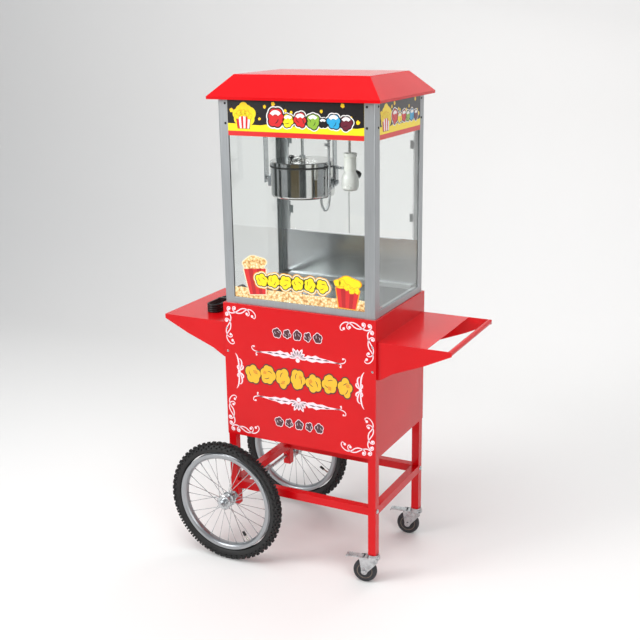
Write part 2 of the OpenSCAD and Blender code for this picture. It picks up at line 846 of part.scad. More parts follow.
module bulb() {
    color("#f4f4ee") translate([lamp_x, lamp_y, 0]) rotate_extrude() union() {
        translate([0, 1235]) square([14, 20]);
        intersection() {
            translate([0, 1222]) circle(25);
            translate([0, 1190]) square([30, 60]);
        }
    }
}

// A rocker with its pin, drawn round the pin and tipped to its off position.
module rocker() {
    color(black) rotate([-switch_rest, 0, 0]) rotate([90, 0, 90]) {
        translate([0, 0, -9.5]) linear_extrude(19) polygon([[-6, -8], [3, -11.5], [6, -11.5], [4.5, 0],
            [6, 11.5], [3, 11.5], [-6, 8]]);
        cylinder(d = 4, h = 21.4, center = true);
    }
}

module place_rocker(i) {
    translate([switch_x[i], case_d / 2 - 2, switch_z]) children();
}

module switch_heat() { place_rocker(0) rocker(); }
module switch_stir() { place_rocker(1) rocker(); }
module switch_light() { place_rocker(2) rocker(); }

// ---------------------------------------------------------------- mains lead

module cord_gland() {
    start = lead_route[0][1];
    color(black) translate([gland_x, case_d / 2, gland_z]) rotate([-90, 0, 0])
        rotate_extrude() polygon([[0, 0], [9, 0], [9, 3], [6.5, 4], [5, start - case_d / 2],
            [0, start - case_d / 2]]);
}

module cord_lead() {
    color(black) swept_tube(lead_route, lead_d, 10);
}

// Outer shape of the folded lead: an outline with round ends.
module cord_hank() {
    half = hank_bend + lead_d / 2;
    color(black) translate([hank_x, hank_y, shelf_z]) linear_extrude(hank_h) union() {
        translate([-half, -hank_run / 2]) square([2 * half, hank_run]);
        for (s = [-1, 1]) translate([0, s * hank_run / 2]) circle(half);
    }
}

module cord_tie() {
    half = hank_bend + lead_d / 2;
    color(black) translate([hank_x, hank_y, shelf_z]) difference() {
        box([-half - 1.5, -7, 0], [half + 1.5, 7, hank_h + 1.5]);
        box([-half, -8, -1], [half, 8, hank_h]);
    }
}

// Round plug lying behind the hank, pins to the back.
module cord_plug() {
    color(black) translate([plug_x, 38, plug_z]) rotate([-90, 0, 0]) {
        rotate_extrude() polygon([[0, 0], [4.5, 0], [6.5, 30], [10, 38], [17, 50], [18.5, 56],
            [18.5, 86], [0, 86]]);
        for (s = [-1, 1]) translate([s * 9.5, 0, 86]) cylinder(d = 4.8, h = 19);
    }
}

legs_left();
legs_right();
lower_rails();
cabinet_front();
cabinet_sides();
cabinet_floor();
cabinet_top();
cabinet_door();
shelf_left();
shelf_right();
shelf_handle();
frame_fasteners();
hinge_pins();
wheel_axle();
wheel_front_tyre();
wheel_front_rim();
wheel_front_spokes();
wheel_front_hub();
wheel_rear_tyre();
wheel_rear_rim();
wheel_rear_spokes();
wheel_rear_hub();
castor_heads();
castor_front_fork();
castor_front_wheel();
castor_front_brake();
castor_rear_fork();
castor_rear_wheel();
castor_rear_brake();
base_tray();
corner_posts();
glass_front();
glass_sides();
banner_panels();
hood();
roof();
rear_sill();
door_left();
door_right();
kettle_hangers();
kettle_pan();
kettle_band();
lid_fixed();
lid_flap();
stirrer();
stirrer_motor();
dump_handle();
handle_grip();
conduit_drop();
conduit_loop();
lamp_holder();
bulb();
switch_heat();
switch_stir();
switch_light();
cord_gland();
cord_lead();
cord_hank();
cord_tie();
cord_plug();
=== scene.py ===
# Popcorn cart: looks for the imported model. Metres; the front faces -Y, Z is up.
import math
import random

import bmesh
import bpy
from mathutils import Matrix, Quaternion, Vector


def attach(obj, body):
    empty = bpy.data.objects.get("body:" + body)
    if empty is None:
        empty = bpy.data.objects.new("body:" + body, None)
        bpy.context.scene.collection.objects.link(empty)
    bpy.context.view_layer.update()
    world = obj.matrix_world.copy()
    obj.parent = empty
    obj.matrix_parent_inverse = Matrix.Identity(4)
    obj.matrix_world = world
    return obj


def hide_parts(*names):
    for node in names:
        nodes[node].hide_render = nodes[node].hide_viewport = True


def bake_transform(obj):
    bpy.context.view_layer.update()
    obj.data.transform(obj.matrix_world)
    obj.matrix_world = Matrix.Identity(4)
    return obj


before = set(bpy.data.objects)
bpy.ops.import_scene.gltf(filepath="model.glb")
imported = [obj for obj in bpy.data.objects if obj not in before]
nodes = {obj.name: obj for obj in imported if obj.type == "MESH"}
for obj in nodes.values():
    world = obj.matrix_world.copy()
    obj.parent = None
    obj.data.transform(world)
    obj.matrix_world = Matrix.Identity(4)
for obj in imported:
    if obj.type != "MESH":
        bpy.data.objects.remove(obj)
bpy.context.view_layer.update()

# ---------------------------------------------------------------- camera
# Standing eye height, in front of the cart and to its right, with a slightly long lens.
scene = bpy.context.scene
camera = bpy.data.objects.new("Camera", bpy.data.cameras.new("Camera"))
scene.collection.objects.link(camera)
camera.location = (1.4186, -2.7961, 1.6875)
yaw, pitch, roll = math.radians(27.22), math.radians(-16.34), math.radians(-0.87)
camera.rotation_mode = "QUATERNION"
camera.rotation_quaternion = (Quaternion((0, 0, 1), yaw) @ Quaternion((1, 0, 0), math.pi / 2 + pitch)
                              @ Quaternion((0, 0, 1), roll))
camera.data.lens = 58.7
scene.camera = camera

# ---------------------------------------------------------------- studio
# A pale floor that sweeps up into a wall behind the cart, and large soft lights. The dark,
# brown and white cards stand out of view and only show in polished metal and glass.


def linear(code):
    """Linear colour of an sRGB hex code."""
    parts = [int(code[i:i + 2], 16) / 255 for i in (1, 3, 5)]
    return tuple(c / 12.92 if c <= 0.04045 else ((c + 0.055) / 1.055) ** 2.4 for c in parts) + (1.0,)


def add(tree, kind, inputs=(), into=None, stops=(), **settings):
    """Adds a shader node with its settings, inputs and links. into is the socket that its first output
    feeds, and stops are a ramp's positions and colours."""
    made = tree.nodes.new("ShaderNode" + kind)
    for name, value in settings.items():
        setattr(made, name, value)
    for socket, value in dict(inputs).items():
        if isinstance(value, bpy.types.NodeSocket):
            tree.links.new(value, made.inputs[socket])
        else:
            made.inputs[socket].default_value = value
    for i, (position, code) in enumerate(stops):
        stop = made.color_ramp.elements[i] if i < 2 else made.color_ramp.elements.new(position)
        stop.position, stop.color = position, linear(code)
    if into:
        tree.links.new(made.outputs[0], into)
    return made


def surface(name, inputs):
    """Material with one Principled shader; returns the material, its tree and the shader."""
    mat = bpy.data.materials.new(name)
    mat.use_nodes = True
    shader = mat.node_tree.nodes["Principled BSDF"]
    for socket, value in inputs.items():
        shader.inputs[socket].default_value = value
    return mat, mat.node_tree, shader


def new_object(name, verts, faces, mat, smooth=True):
    """Mesh object from points and faces."""
    mesh = bpy.data.meshes.new(name)
    mesh.from_pydata([tuple(v) for v in verts], [], faces)
    mesh.validate()
    mesh.materials.append(mat)
    for face in mesh.polygons:
        face.use_smooth = smooth
    made = bpy.data.objects.new(name, mesh)
    scene.collection.objects.link(made)
    return made


# Seamless paper: matt and even, so nothing shows in it but soft shadow.
floor_mat, tree, shader = surface("Studio paper", {"Base Color": linear("#e6e5e3"), "Roughness": 0.6})
profile = [(-5.0, 0.0)] + [(1.6 + 1.2 * math.sin(a), 1.2 - 1.2 * math.cos(a))
                           for a in [math.radians(d) for d in range(0, 91, 6)]] + [(2.8, 5.0)]
sweep_verts = [(x, y, z) for y, z in profile for x in (-7.0, 7.0)]
sweep_faces = [(2 * i, 2 * i + 1, 2 * i + 3, 2 * i + 2) for i in range(len(profile) - 1)]
new_object("Studio_floor", sweep_verts, sweep_faces, floor_mat)


def card(name, centre, width, height, mat):
    """Upright card facing the cart, which only polished metal and glass see."""
    c = Vector(centre)
    right = Vector((0, 0, 1)).cross(c).normalized() * width / 2
    up = Vector((0, 0, height / 2))
    made = new_object(name, [c - right - up, c + right - up, c + right + up, c - right + up],
                      [(0, 1, 2, 3)], mat)
    made.visible_camera = made.visible_diffuse = made.visible_shadow = False


card_inks = {}
for tag, code in (("dark", "#3c4040"), ("brown", "#6a5e46"), ("white", "#ffffff")):
    card_inks[tag] = surface(f"Studio card {tag}", {"Base Color": linear("#000000"), "Roughness": 1.0,
                                                    "Emission Color": linear(code),
                                                    "Emission Strength": 1.0})[0]
for turned, wide, tag in ((-113, 14, "dark"), (-91, 30, "brown"), (-64, 22, "dark"), (-42, 18, "white"),
                          (-21, 20, "brown"),
                          (-176, 16, "dark")):
    a, reach = math.radians(turned), 3.6 if -120 < turned < -50 else 3.0
    card(f"Card_{tag}_{abs(turned)}", (reach * math.cos(a), reach * math.sin(a), 1.1),
         2 * reach * math.tan(math.radians(wide / 2)), 2.2, card_inks[tag])


def lamp(name, place, target, size, watts, tint="#ffffff", mirrored=True):
    """Square soft light aimed at a point. One that is not mirrored does not show in polished metal."""
    data = bpy.data.lights.new(name, "AREA")
    data.size = size
    data.energy = watts
    data.color = linear(tint)[:3]
    made = bpy.data.objects.new(name, data)
    scene.collection.objects.link(made)
    made.location = place
    made.visible_glossy = made.visible_transmission = mirrored
    made.rotation_mode = "QUATERNION"
    made.rotation_quaternion = (Vector(target) - Vector(place)).to_track_quat("-Z", "Y")


lamp("Key_light", (-2.4, -2.9, 2.6), (0, 0, 0.7), 1.6, 82)
lamp("Fill_light", (2.9, -2.6, 1.9), (0, 0, 0.8), 1.5, 52)
lamp("Top_light", (0.0, -1.2, 3.8), (0, 0, 0.6), 2.6, 80, mirrored=False)
lamp("Back_light", (0.2, 1.9, 2.8), (0, 0, 1.3), 1.8, 26, mirrored=False)
world = bpy.data.worlds.new("Studio")
scene.world = world
world.use_nodes = True
world.node_tree.nodes["Background"].inputs["Color"].default_value = linear("#eef2f8")
world.node_tree.nodes["Background"].inputs["Strength"].default_value = 0.46
scene.view_settings.view_transform = "Standard"

# ---------------------------------------------------------------- mains lead
# Black flexible lead, 7 mm thick: out of a gland low on the case's back, round the cabinet's corner
# and onto the left shelf, where the rest is folded into a hank. The hank is wound flat.
LEAD = 0.007


def smooth_route(points, steps):
    """Catmull-Rom curve through the points."""
    p = [Vector(q) for q in points]
    p = [2 * p[0] - p[1]] + p + [2 * p[-1] - p[-2]]
    out = []
    for i in range(1, len(p) - 2):
        for k in range(steps):
            t = k / steps
            out.append(0.5 * (2 * p[i] + (p[i + 1] - p[i - 1]) * t
                              + (2 * p[i - 1] - 5 * p[i] + 4 * p[i + 1] - p[i + 2]) * t * t
                              + (3 * p[i] - p[i - 1] - 3 * p[i + 1] + p[i + 2]) * t ** 3))
    return out + [p[-2]]


lead_out = [(-0.234, 0.212, 0.880), (-0.234, 0.226, 0.879), (-0.237, 0.244, 0.873),
            (-0.247, 0.258, 0.861), (-0.263, 0.266, 0.845), (-0.283, 0.266, 0.826),
            (-0.303, 0.257, 0.808), (-0.319, 0.240, 0.794), (-0.328, 0.218, 0.786),
            (-0.331, 0.195, 0.783), (-0.331, 0.170, 0.7825), (-0.331, 0.140, 0.7825),
            (-0.331, 0.110, 0.7825), (-0.331, 0.080, 0.7825), (-0.331, 0.060, 0.7825)]
hank_x, hank_y, hank_run, hank_bend, hank_turns = -0.352, -0.027, 0.120, 0.021, 4
SHELF_TOP = 0.779
floor_of_hank = SHELF_TOP + LEAD / 2
wound = []
for turn in range(hank_turns):
    low_level = floor_of_hank + turn * LEAD
    steps = 16
    for end, first in ((-1, 0), (1, 180)):
        for k in range(steps + 1):
            a = math.radians(first - 180 * k / steps)
            share = (0 if end < 0 else 0.5) + 0.5 * k / steps
            lift = LEAD * max(0.0, (share - 0.5) * 2) if turn < hank_turns - 1 else 0.0
            wound.append((hank_x + hank_bend * math.cos(a),
                          hank_y + end * hank_run / 2 + hank_bend * math.sin(a), low_level + lift))
        if turn == hank_turns - 1:
            break
plug_tail = [(hank_x - hank_bend - 0.0005, hank_y, 0.8030), (-0.3745, 0.012, 0.8005),
             (-0.375, 0.030, 0.7985),
             (-0.375, 0.044, 0.798)]
lead_line = smooth_route(lead_out, 3)[:-1] + [Vector(p) for p in wound + plug_tail]

# Black PVC: slightly uneven gloss where it has been handled.
pvc, tree, shader = surface("Black PVC", {"Base Color": linear("#151515"), "IOR": 1.53})
place = add(tree, "TexCoord").outputs["Object"]
blotch = add(tree, "TexNoise", {"Vector": place, "Scale": 90.0, "Detail": 4.0})
add(tree, "MapRange", {"Value": blotch.outputs["Fac"], "To Min": 0.28, "To Max": 0.5},
    into=shader.inputs["Roughness"])
grain = add(tree, "TexNoise", {"Vector": place, "Scale": 2200.0, "Detail": 2.0})
add(tree, "Bump", {"Height": grain.outputs["Fac"], "Strength": 0.25, "Distance": 0.0002},
    into=shader.inputs["Normal"])

curve = bpy.data.curves.new("Mains_lead", "CURVE")
curve.dimensions = "3D"
curve.bevel_depth = LEAD / 2
curve.bevel_resolution = 3
spline = curve.splines.new("POLY")
spline.points.add(len(lead_line) - 1)
for point, co in zip(spline.points, lead_line):
    point.co = (*co, 1.0)
curve.materials.append(pvc)
mains_lead = bpy.data.objects.new("Mains_lead", curve)
scene.collection.objects.link(mains_lead)
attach(mains_lead, "cart")
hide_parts("cord_lead", "cord_hank")


def lathe(name, outline, mat, sides=64, axis="Z", at=(0, 0, 0), smooth_angle=32):
    """Turned piece: outline is (radius, height) pairs, spun round the axis."""
    verts, faces = [], []
    for r, h in outline:
        for k in range(sides):
            a = 2 * math.pi * k / sides
            verts.append((r * math.cos(a), r * math.sin(a), h))
    for i in range(len(outline) - 1):
        for k in range(sides):
            a, b = i * sides + k, i * sides + (k + 1) % sides
            faces.append((a, b, b + sides, a + sides))
    if outline[0][0] > 0:
        ends = [] if outline[0] == outline[-1] else [0, len(outline) - 1]
    else:
        ends = [len(outline) - 1] if outline[-1][0] > 0 else []
    for i in ends:
        ring = [i * sides + k for k in range(sides)]
        faces.append(tuple(reversed(ring)) if i == 0 else tuple(ring))
    turn = {"Z": Matrix.Identity(4), "Y": Matrix.Rotation(-math.pi / 2, 4, "X"),
            "X": Matrix.Rotation(math.pi / 2, 4, "Y")}[axis] if isinstance(axis, str) else axis
    move = Matrix.Translation(at) @ turn
    made = new_object(name, [move @ Vector(v) for v in verts], faces, mat)
    sharpen(made, smooth_angle)
    return made


def sharpen(piece, angle):
    """Merges doubled points and marks the edges sharper than the angle, so that flat faces stay flat."""
    work = bmesh.new()
    work.from_mesh(piece.data)
    bmesh.ops.remove_doubles(work, verts=work.verts, dist=1e-6)
    bmesh.ops.recalc_face_normals(work, faces=work.faces)
    for edge in work.edges:
        edge.smooth = len(edge.link_faces) == 2 and edge.calc_face_angle(0) < math.radians(angle)
    work.to_mesh(piece.data)
    work.free()


def give(piece, body, slot, *replaced):
    """Puts a piece on the body it rides on and hides the nodes it stands for. The slot argument is not
    used.
    """
    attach(piece, body)
    if replaced:
        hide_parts(*replaced)


# Moulded round plug: ribbed grip, flat face and two round pins.
shiny_black, tree, shader = surface("Moulded black plastic",
                                    {"Base Color": linear("#171718"), "IOR": 1.5})
place = add(tree, "TexCoord").outputs["Object"]
blotch = add(tree, "TexNoise", {"Vector": place, "Scale": 60.0, "Detail": 5.0})
add(tree, "MapRange", {"Value": blotch.outputs["Fac"], "To Min": 0.16, "To Max": 0.36},
    into=shader.inputs["Roughness"])
grain = add(tree, "TexNoise", {"Vector": place, "Scale": 1500.0, "Detail": 2.0})
add(tree, "Bump", {"Height": grain.outputs["Fac"], "Strength": 0.2, "Distance": 0.0002},
    into=shader.inputs["Normal"])
# Nickel-plated brass: a warm, bright metal with finger haze.
plated, tree, shader = surface("Nickel plate", {"Base Color": linear("#d0cdc6"), "Metallic": 1.0})
place = add(tree, "TexCoord").outputs["Object"]
blotch = add(tree, "TexNoise", {"Vector": place, "Scale": 120.0, "Detail": 5.0})
add(tree, "MapRange", {"Value": blotch.outputs["Fac"], "To Min": 0.12, "To Max": 0.34},
    into=shader.inputs["Roughness"])
grip = [(0, 0), (0.0045, 0)]
for i in range(6):
    grip += [(0.0052 + 0.0003 * i, 0.003 + 0.0045 * i), (0.0045 + 0.0003 * i, 0.0052 + 0.0045 * i)]
grip += [(0.0065, 0.030), (0.0085, 0.035), (0.0115, 0.041), (0.0158, 0.047), (0.0180, 0.0535),
         (0.0185, 0.058), (0.0185, 0.068), (0.0176, 0.0695), (0.0176, 0.0715), (0.0185, 0.073),
         (0.0185, 0.0845), (0.0175, 0.086), (0, 0.086)]
plug = lathe("Plug_body", grip, shiny_black, axis="Y", at=(-0.375, 0.038, 0.798))
give(plug, "cart", "black_plastic", "cord_plug")
for side in (-1, 1):
    pin = lathe(f"Plug_pin_{'ab'[side > 0]}", [(0, 0), (0.0024, 0), (0.0024, 0.0165), (0.0019, 0.0185),
                                               (0, 0.019)],
                plated, sides=24, axis="Y", at=(-0.375 + side * 0.0095, 0.124, 0.798))
    give(pin, "cart", "bright_steel")

# Flat plastic tie round the middle of the hank.
half, top = 0.0255, SHELF_TOP + 0.0285
band = []
for y in (hank_y - 0.0045, hank_y + 0.0045):
    for x, z in ((-half, 0.7793), (-half, top - 0.004), (-half + 0.004, top), (half - 0.004, top),
                 (half, top - 0.004), (half, 0.7793)):
        band.append((hank_x + x, y, z))
tie = new_object("Lead_tie", band, [(i, i + 1, i + 7, i + 6) for i in range(5)], shiny_black)
thick = tie.modifiers.new("Thickness", "SOLIDIFY")
thick.thickness, thick.offset = 0.0009, 0
give(tie, "cart", "black_plastic", "cord_tie")

# Tapered and ribbed strain relief where the lead leaves the case.
gland_outline = [(0, 0), (0.0098, 0), (0.0098, 0.0035), (0.0072, 0.0045)]
for i in range(6):
    gland_outline += [(0.0070 - 0.0003 * i, 0.0065 + 0.0040 * i),
                      (0.0058 - 0.0002 * i, 0.0074 + 0.0040 * i),
                      (0.0058 - 0.0002 * i, 0.0090 + 0.0040 * i),
                      (0.0069 - 0.0003 * i, 0.0098 + 0.0040 * i)]
gland_outline += [(0.0050, 0.031), (0, 0.031)]
gland = lathe("Lead_gland", gland_outline, pvc, sides=32, axis="Y", at=(-0.234, 0.181, 0.880))
give(gland, "cart", "black_rubber", "cord_gland")

# ---------------------------------------------------------------- red sheet metal and tube
# Folded 1.5 mm sheet and 25 mm square tube, all powder coated in one glossy red. The coat has a faint
# orange peel, softens every fold and is rubbed a little duller on the edges.
red_coat, tree, shader = surface("Red powder coat",
                                 {"Coat Weight": 0.30, "Coat Roughness": 0.04, "Coat IOR": 1.28,
                                  "IOR": 1.30})
place = add(tree, "TexCoord").outputs["Object"]
broad = add(tree, "TexNoise", {"Vector": place, "Scale": 5.0, "Detail": 3.0})
tone = add(tree, "ValToRGB", {"Fac": broad.outputs["Fac"]}, stops=((0.35, "#cc060e"), (0.65, "#d60a12")))
edge = add(tree, "NewGeometry").outputs["Pointiness"]
rubbed = add(tree, "MapRange", {"Value": edge, "From Min": 0.52, "From Max": 0.60, "To Max": 0.35})
worn = add(tree, "Mix", {"Factor": rubbed.outputs[0], "A": tone.outputs["Color"], "B": linear("#b80c14")},
           data_type="RGBA")
tree.links.new(worn.outputs["Result"], shader.inputs["Base Color"])
smear = add(tree, "TexNoise", {"Vector": place, "Scale": 22.0, "Detail": 6.0})
add(tree, "MapRange", {"Value": smear.outputs["Fac"], "To Min": 0.14, "To Max": 0.30},
    into=shader.inputs["Roughness"])
peel = add(tree, "TexNoise", {"Vector": place, "Scale": 420.0, "Detail": 1.0})
peel_bump = add(tree, "Bump", {"Height": peel.outputs["Fac"], "Strength": 0.10,
                               "Distance": 0.0004}).outputs[0]
tree.links.new(peel_bump, shader.inputs["Normal"])
tree.links.new(peel_bump, shader.inputs["Coat Normal"])


def soften(piece, width, segments=2):
    """Rounds a piece's sharp edges."""
    edge = piece.modifiers.new("Soft edges", "BEVEL")
    edge.width, edge.segments, edge.limit_method, edge.harden_normals = width, segments, "ANGLE", True
    return edge


def show_node(name, mat, width, segments=2):
    """Shows a CAD node as it is, in its own material, with its sharp edges rounded."""
    piece = nodes[name]
    piece.data.materials.clear()
    piece.data.materials.append(mat)
    soften(piece, width, segments).angle_limit = math.radians(40)


for name in ("legs_left", "legs_right", "lower_rails"):
    show_node(name, red_coat, 0.0012, 3)
for name in ("cabinet_front", "cabinet_sides", "cabinet_floor", "cabinet_top", "shelf_left",
             "shelf_right",
             "roof"):
    show_node(name, red_coat, 0.0006, 2)
show_node("shelf_handle", red_coat, 0.0005, 2)

# ---------------------------------------------------------------- front panel ornament
# Printed vinyl on the red front: a scroll in each corner, two long flourishes with a fan in the
# middle, a small one at each side, and a row of gold puffs where a maker would put a name.


def ink(name, code, rough=0.3):
    """Printed vinyl: even colour with a slight mottle and a fine grain."""
    mat, tree, shader = surface(name, {"Coat Weight": 0.3, "Coat Roughness": 0.1})
    place = add(tree, "TexCoord").outputs["Object"]
    mottle = add(tree, "TexNoise", {"Vector": place, "Scale": 150.0, "Detail": 4.0})
    base = linear(code)
    shade = add(tree, "Mix", {"Factor": mottle.outputs["Fac"], "A": base,
                              "B": tuple(c * 0.86 for c in base[:3]) + (1.0,)}, data_type="RGBA")
    tree.links.new(shade.outputs["Result"], shader.inputs["Base Color"])
    add(tree, "MapRange", {"Value": mottle.outputs["Fac"], "To Min": rough - 0.08, "To Max": rough + 0.1},
        into=shader.inputs["Roughness"])
    return mat


class Print:
    """Flat coloured shapes on an upright face, gathered into one thin sheet for each ink."""

    def __init__(self, name, origin, right, out):
        self.name, self.sheets = name, {}
        self.origin, self.right, self.out = Vector(origin), Vector(right), Vector(out)

    def shape(self, mat, points, layer):
        verts, faces = self.sheets.setdefault(mat, ([], []))
        start = len(verts)
        lift = 0.00012 * (layer + 1)
        verts += [self.origin + self.right * u + Vector((0, 0, v)) + self.out * lift for u, v in points]
        faces.append(tuple(range(start, len(verts))))

    def ribbon(self, mat, points, widths, layer):
        for i in range(len(points) - 1):
            a, b = points[i], points[i + 1]
            d = (Vector(points[min(i + 1, len(points) - 1)]) - Vector(points[max(i - 1, 0)])).normalized()
            e = (Vector(points[min(i + 2, len(points) - 1)]) - Vector(a)).normalized()
            n, m = Vector((-d.y, d.x)) * widths[i] / 2, Vector((-e.y, e.x)) * widths[i + 1] / 2
            self.shape(mat, [(a[0] + n.x, a[1] + n.y), (a[0] - n.x, a[1] - n.y),
                             (b[0] - m.x, b[1] - m.y), (b[0] + m.x, b[1] + m.y)], layer)

    def done(self, body, slot):
        made = []
        for i, (mat, (verts, faces)) in enumerate(self.sheets.items()):
            piece = new_object(f"{self.name}_{i}", verts, faces, mat, smooth=False)
            give(piece, body, slot)
            made.append(piece)
        return made


def disc(cx, cy, r, sides=20):
    """Outline of a round dot."""
    return [(cx + r * math.cos(2 * math.pi * k / sides), cy + r * math.sin(2 * math.pi * k / sides))
            for k in range(sides)]


def scroll(start, heading, length, total, power=3, steps=34):
    """Points of a line that starts nearly straight and rolls up at its end. total is its whole turn."""
    x, y = start
    a = math.radians(heading)
    out = [(x, y)]
    for i in range(steps):
        a += math.radians(total) * (((i + 1) / steps) ** (power + 1) - (i / steps) ** (power + 1))
        x, y = x + length / steps * math.cos(a), y + length / steps * math.sin(a)
        out.append((x, y))
    return out


def taper(count, thick, thin=0.35):
    """Widths along a ribbon that is thin at both ends."""
    swell = [max(0.0, math.sin(math.pi * i / (count - 1))) ** 0.7 for i in range(count)]
    return [thick * (thin + (1 - thin) * full) for full in swell]


def puff(cx, cy, r, lobes=5, seed=0.0, tall=1.0, grow=0.0, sides=96):
    """Outline of a popped kernel: uneven round lobes around a middle. grow pushes it out all round."""
    rounds = []
    for j in range(lobes):
        wild = math.sin(12.9 * (j + 1) + 7.3 * seed)
        rounds.append((2 * math.pi * j / lobes + 0.30 * wild + seed,
                       r * (0.52 + 0.06 * math.cos(9.1 * j + seed)),
                       r * (0.44 + 0.07 * wild) + grow))
    out = []
    for k in range(sides):
        t, reach = 2 * math.pi * k / sides, r * 0.45 + grow
        for at, d, size in rounds:
            off = d * math.sin(t - at)
            if abs(off) < size and math.cos(t - at) > 0:
                reach = max(reach, d * math.cos(t - at) + math.sqrt(size * size - off * off))
        out.append((cx + reach * math.cos(t), cy + tall * reach * math.sin(t)))
    return out


pale_ink = ink("Pale pink ink", "#f6dfe6")
gold_ink = ink("Gold ink", "#f2b81c")
dark_ink = ink("Dark maroon ink", "#4a1220")
front = Print("Front_print", (0, -0.188, 0), (1, 0, 0), (0, -1, 0))


def place_points(points, ox, oy, sx, sy, swap=False):
    """Points moved to a corner and turned or mirrored into it."""
    return [(ox + sx * (v if swap else u), oy + sy * (u if swap else v)) for u, v in points]


def corner(ox, oy, sx, sy):
    """Two pairs of vines that leave one corner, cross each other twice and roll up round buds."""
    first = [(20, 19), (22, 16), (19, 12.5), (14, 13.5), (12, 20), (16, 27), (25, 31), (36, 28.5),
             (46, 22),
             (56, 15), (66, 12.5), (75, 15), (80.5, 21.5), (81, 29.5), (77, 34), (73, 31.5)]
    second = [(37, 17), (39, 14), (36, 10), (31, 11.5), (29.5, 17.5), (33, 24.5), (40, 28.5), (50, 29.5),
              (60, 26),
              (68, 19), (76, 14.5), (85, 14), (93, 18.5), (99, 26), (100.5, 34), (97, 40), (92, 38)]
    for swap, du, dv in ((False, 0.0, 0.0), (True, 17.0, -5.0)):
        for points, bud_a, bud_b in ((first, (18, 19), (73.5, 28)), (second, (35.5, 16.5), (90, 34))):
            line = smooth_route([(1.13 * u + du, v + dv, 0) for u, v in points], 4)
            line = [(p[0] * 0.001, p[1] * 0.001) for p in line]
            moved = place_points(line, ox, oy, sx, sy, swap)
            front.ribbon(pale_ink, moved, taper(len(moved), 0.0034, 0.55), 0)
            for u, v in (bud_a, bud_b):
                spot = place_points([((1.13 * u + du) * 0.001, (v + dv) * 0.001)], ox, oy, sx, sy,
                                    swap)[0]
                front.shape(pale_ink, disc(*spot, 0.0042), 1)


for cx, sx in ((-0.256, 1), (0.256, -1)):
    corner(cx, 0.845, sx, -1)
    corner(cx, 0.415, sx, 1)


def flourish(cx, cy, flip):
    """Long flourish: a fan of petals between two leaves that run out into thin tails."""
    for s in (-1, 1):
        leaf = [(0.020, -0.002), (0.034, 0.0100), (0.047, 0.0075), (0.060, 0.0125), (0.074, 0.0070),
                (0.096, 0.0045),
                (0.122, 0.0010), (0.150, -0.0015), (0.124, -0.0035), (0.098, -0.0040), (0.080, -0.0085),
                (0.064, -0.0060), (0.050, -0.0110), (0.034, -0.0075)]
        front.shape(pale_ink, [(cx + s * u, cy + flip * v) for u, v in leaf], 0)
        for turned in (225, -150):
            line = scroll((0.122, -0.0015), 0, 0.054 if turned > 0 else 0.030, turned)
            tail = [(cx + s * u, cy + flip * v) for u, v in line]
            front.ribbon(pale_ink, tail, taper(len(tail), 0.0030), 0)
            front.shape(pale_ink, disc(*tail[-1], 0.0030), 1)
        for u in (0.046, 0.070, 0.094):
            front.shape(dark_ink, [(cx + s * (u - 0.011), cy), (cx + s * (u + 0.002), cy + flip * 0.0036),
                                   (cx + s * (u + 0.013), cy + flip * 0.0008),
                                   (cx + s * (u + 0.001), cy - flip * 0.0008)], 1)
    for i in range(7):
        a = math.radians(90 + (i - 3) * 27) * flip
        tip = 0.030 if i % 2 else 0.036
        d, n = Vector((math.cos(a), math.sin(a))), Vector((-math.sin(a), math.cos(a)))
        outline = [(0.10, 0.0), (0.40, 0.0044), (0.66, 0.0058), (0.88, 0.0036), (1.0, 0.0),
                   (0.88, -0.0036),
                   (0.66, -0.0058), (0.40, -0.0044)]
        petal = [d * tip * q + n * w for q, w in outline]
        front.shape(pale_ink, [(cx + p.x, cy - flip * 0.006 + p.y) for p in petal], 2)
        vein = [d * tip * q + n * w for q, w in ((0.35, 0), (0.62, 0.0016), (0.84, 0), (0.62, -0.0016))]
        front.shape(dark_ink, [(cx + p.x, cy - flip * 0.006 + p.y) for p in vein], 3)
    front.shape(pale_ink, disc(cx, cy - flip * 0.011, 0.0070), 3)


flourish(0, 0.703, 1)
flourish(0, 0.555, -1)
for s in (-1, 1):
    for up in (-1, 1):
        for start, heading, length, total in (((0.0, 0.004), 92, 0.056, 40),
                                              ((0.002, 0.004), 66, 0.044, 110),
                                              ((0.002, 0.003), 30, 0.026, 150),
                                              ((-0.001, 0.003), 120, 0.020, -120)):
            moved = [(s * (0.207 - u), 0.628 + up * v) for u,
                     v in scroll(start, heading, length, total, 2)]
            front.ribbon(pale_ink, moved, taper(len(moved), 0.0050, 0.15), 0)
    front.shape(pale_ink, disc(s * 0.207, 0.628, 0.0050), 1)


def kernel(sheet, cx, cz, r, fill, edge_ink, layer, seed=0.0, lobes=5, tall=1.0):
    """Drawn popped kernel: lobed edge, lobed fill and two short curved creases."""
    sheet.shape(edge_ink, puff(cx, cz, r, lobes, seed, tall, r * 0.13), layer)
    sheet.shape(fill, puff(cx, cz, r, lobes, seed, tall), layer + 1)
    for k in range(2):
        t = seed * 2.3 + 2.6 * k
        line = [(cx + 0.62 * r * math.cos(t + w) * q, cz + tall * 0.62 * r * math.sin(t + w) * q) for q,
                w in
                ((1.0, 0.0), (0.80, 0.42), (0.62, 0.90), (0.58, 1.45))]
        sheet.ribbon(edge_ink, line, [r * 0.03, r * 0.09, r * 0.09, r * 0.03], layer + 2)


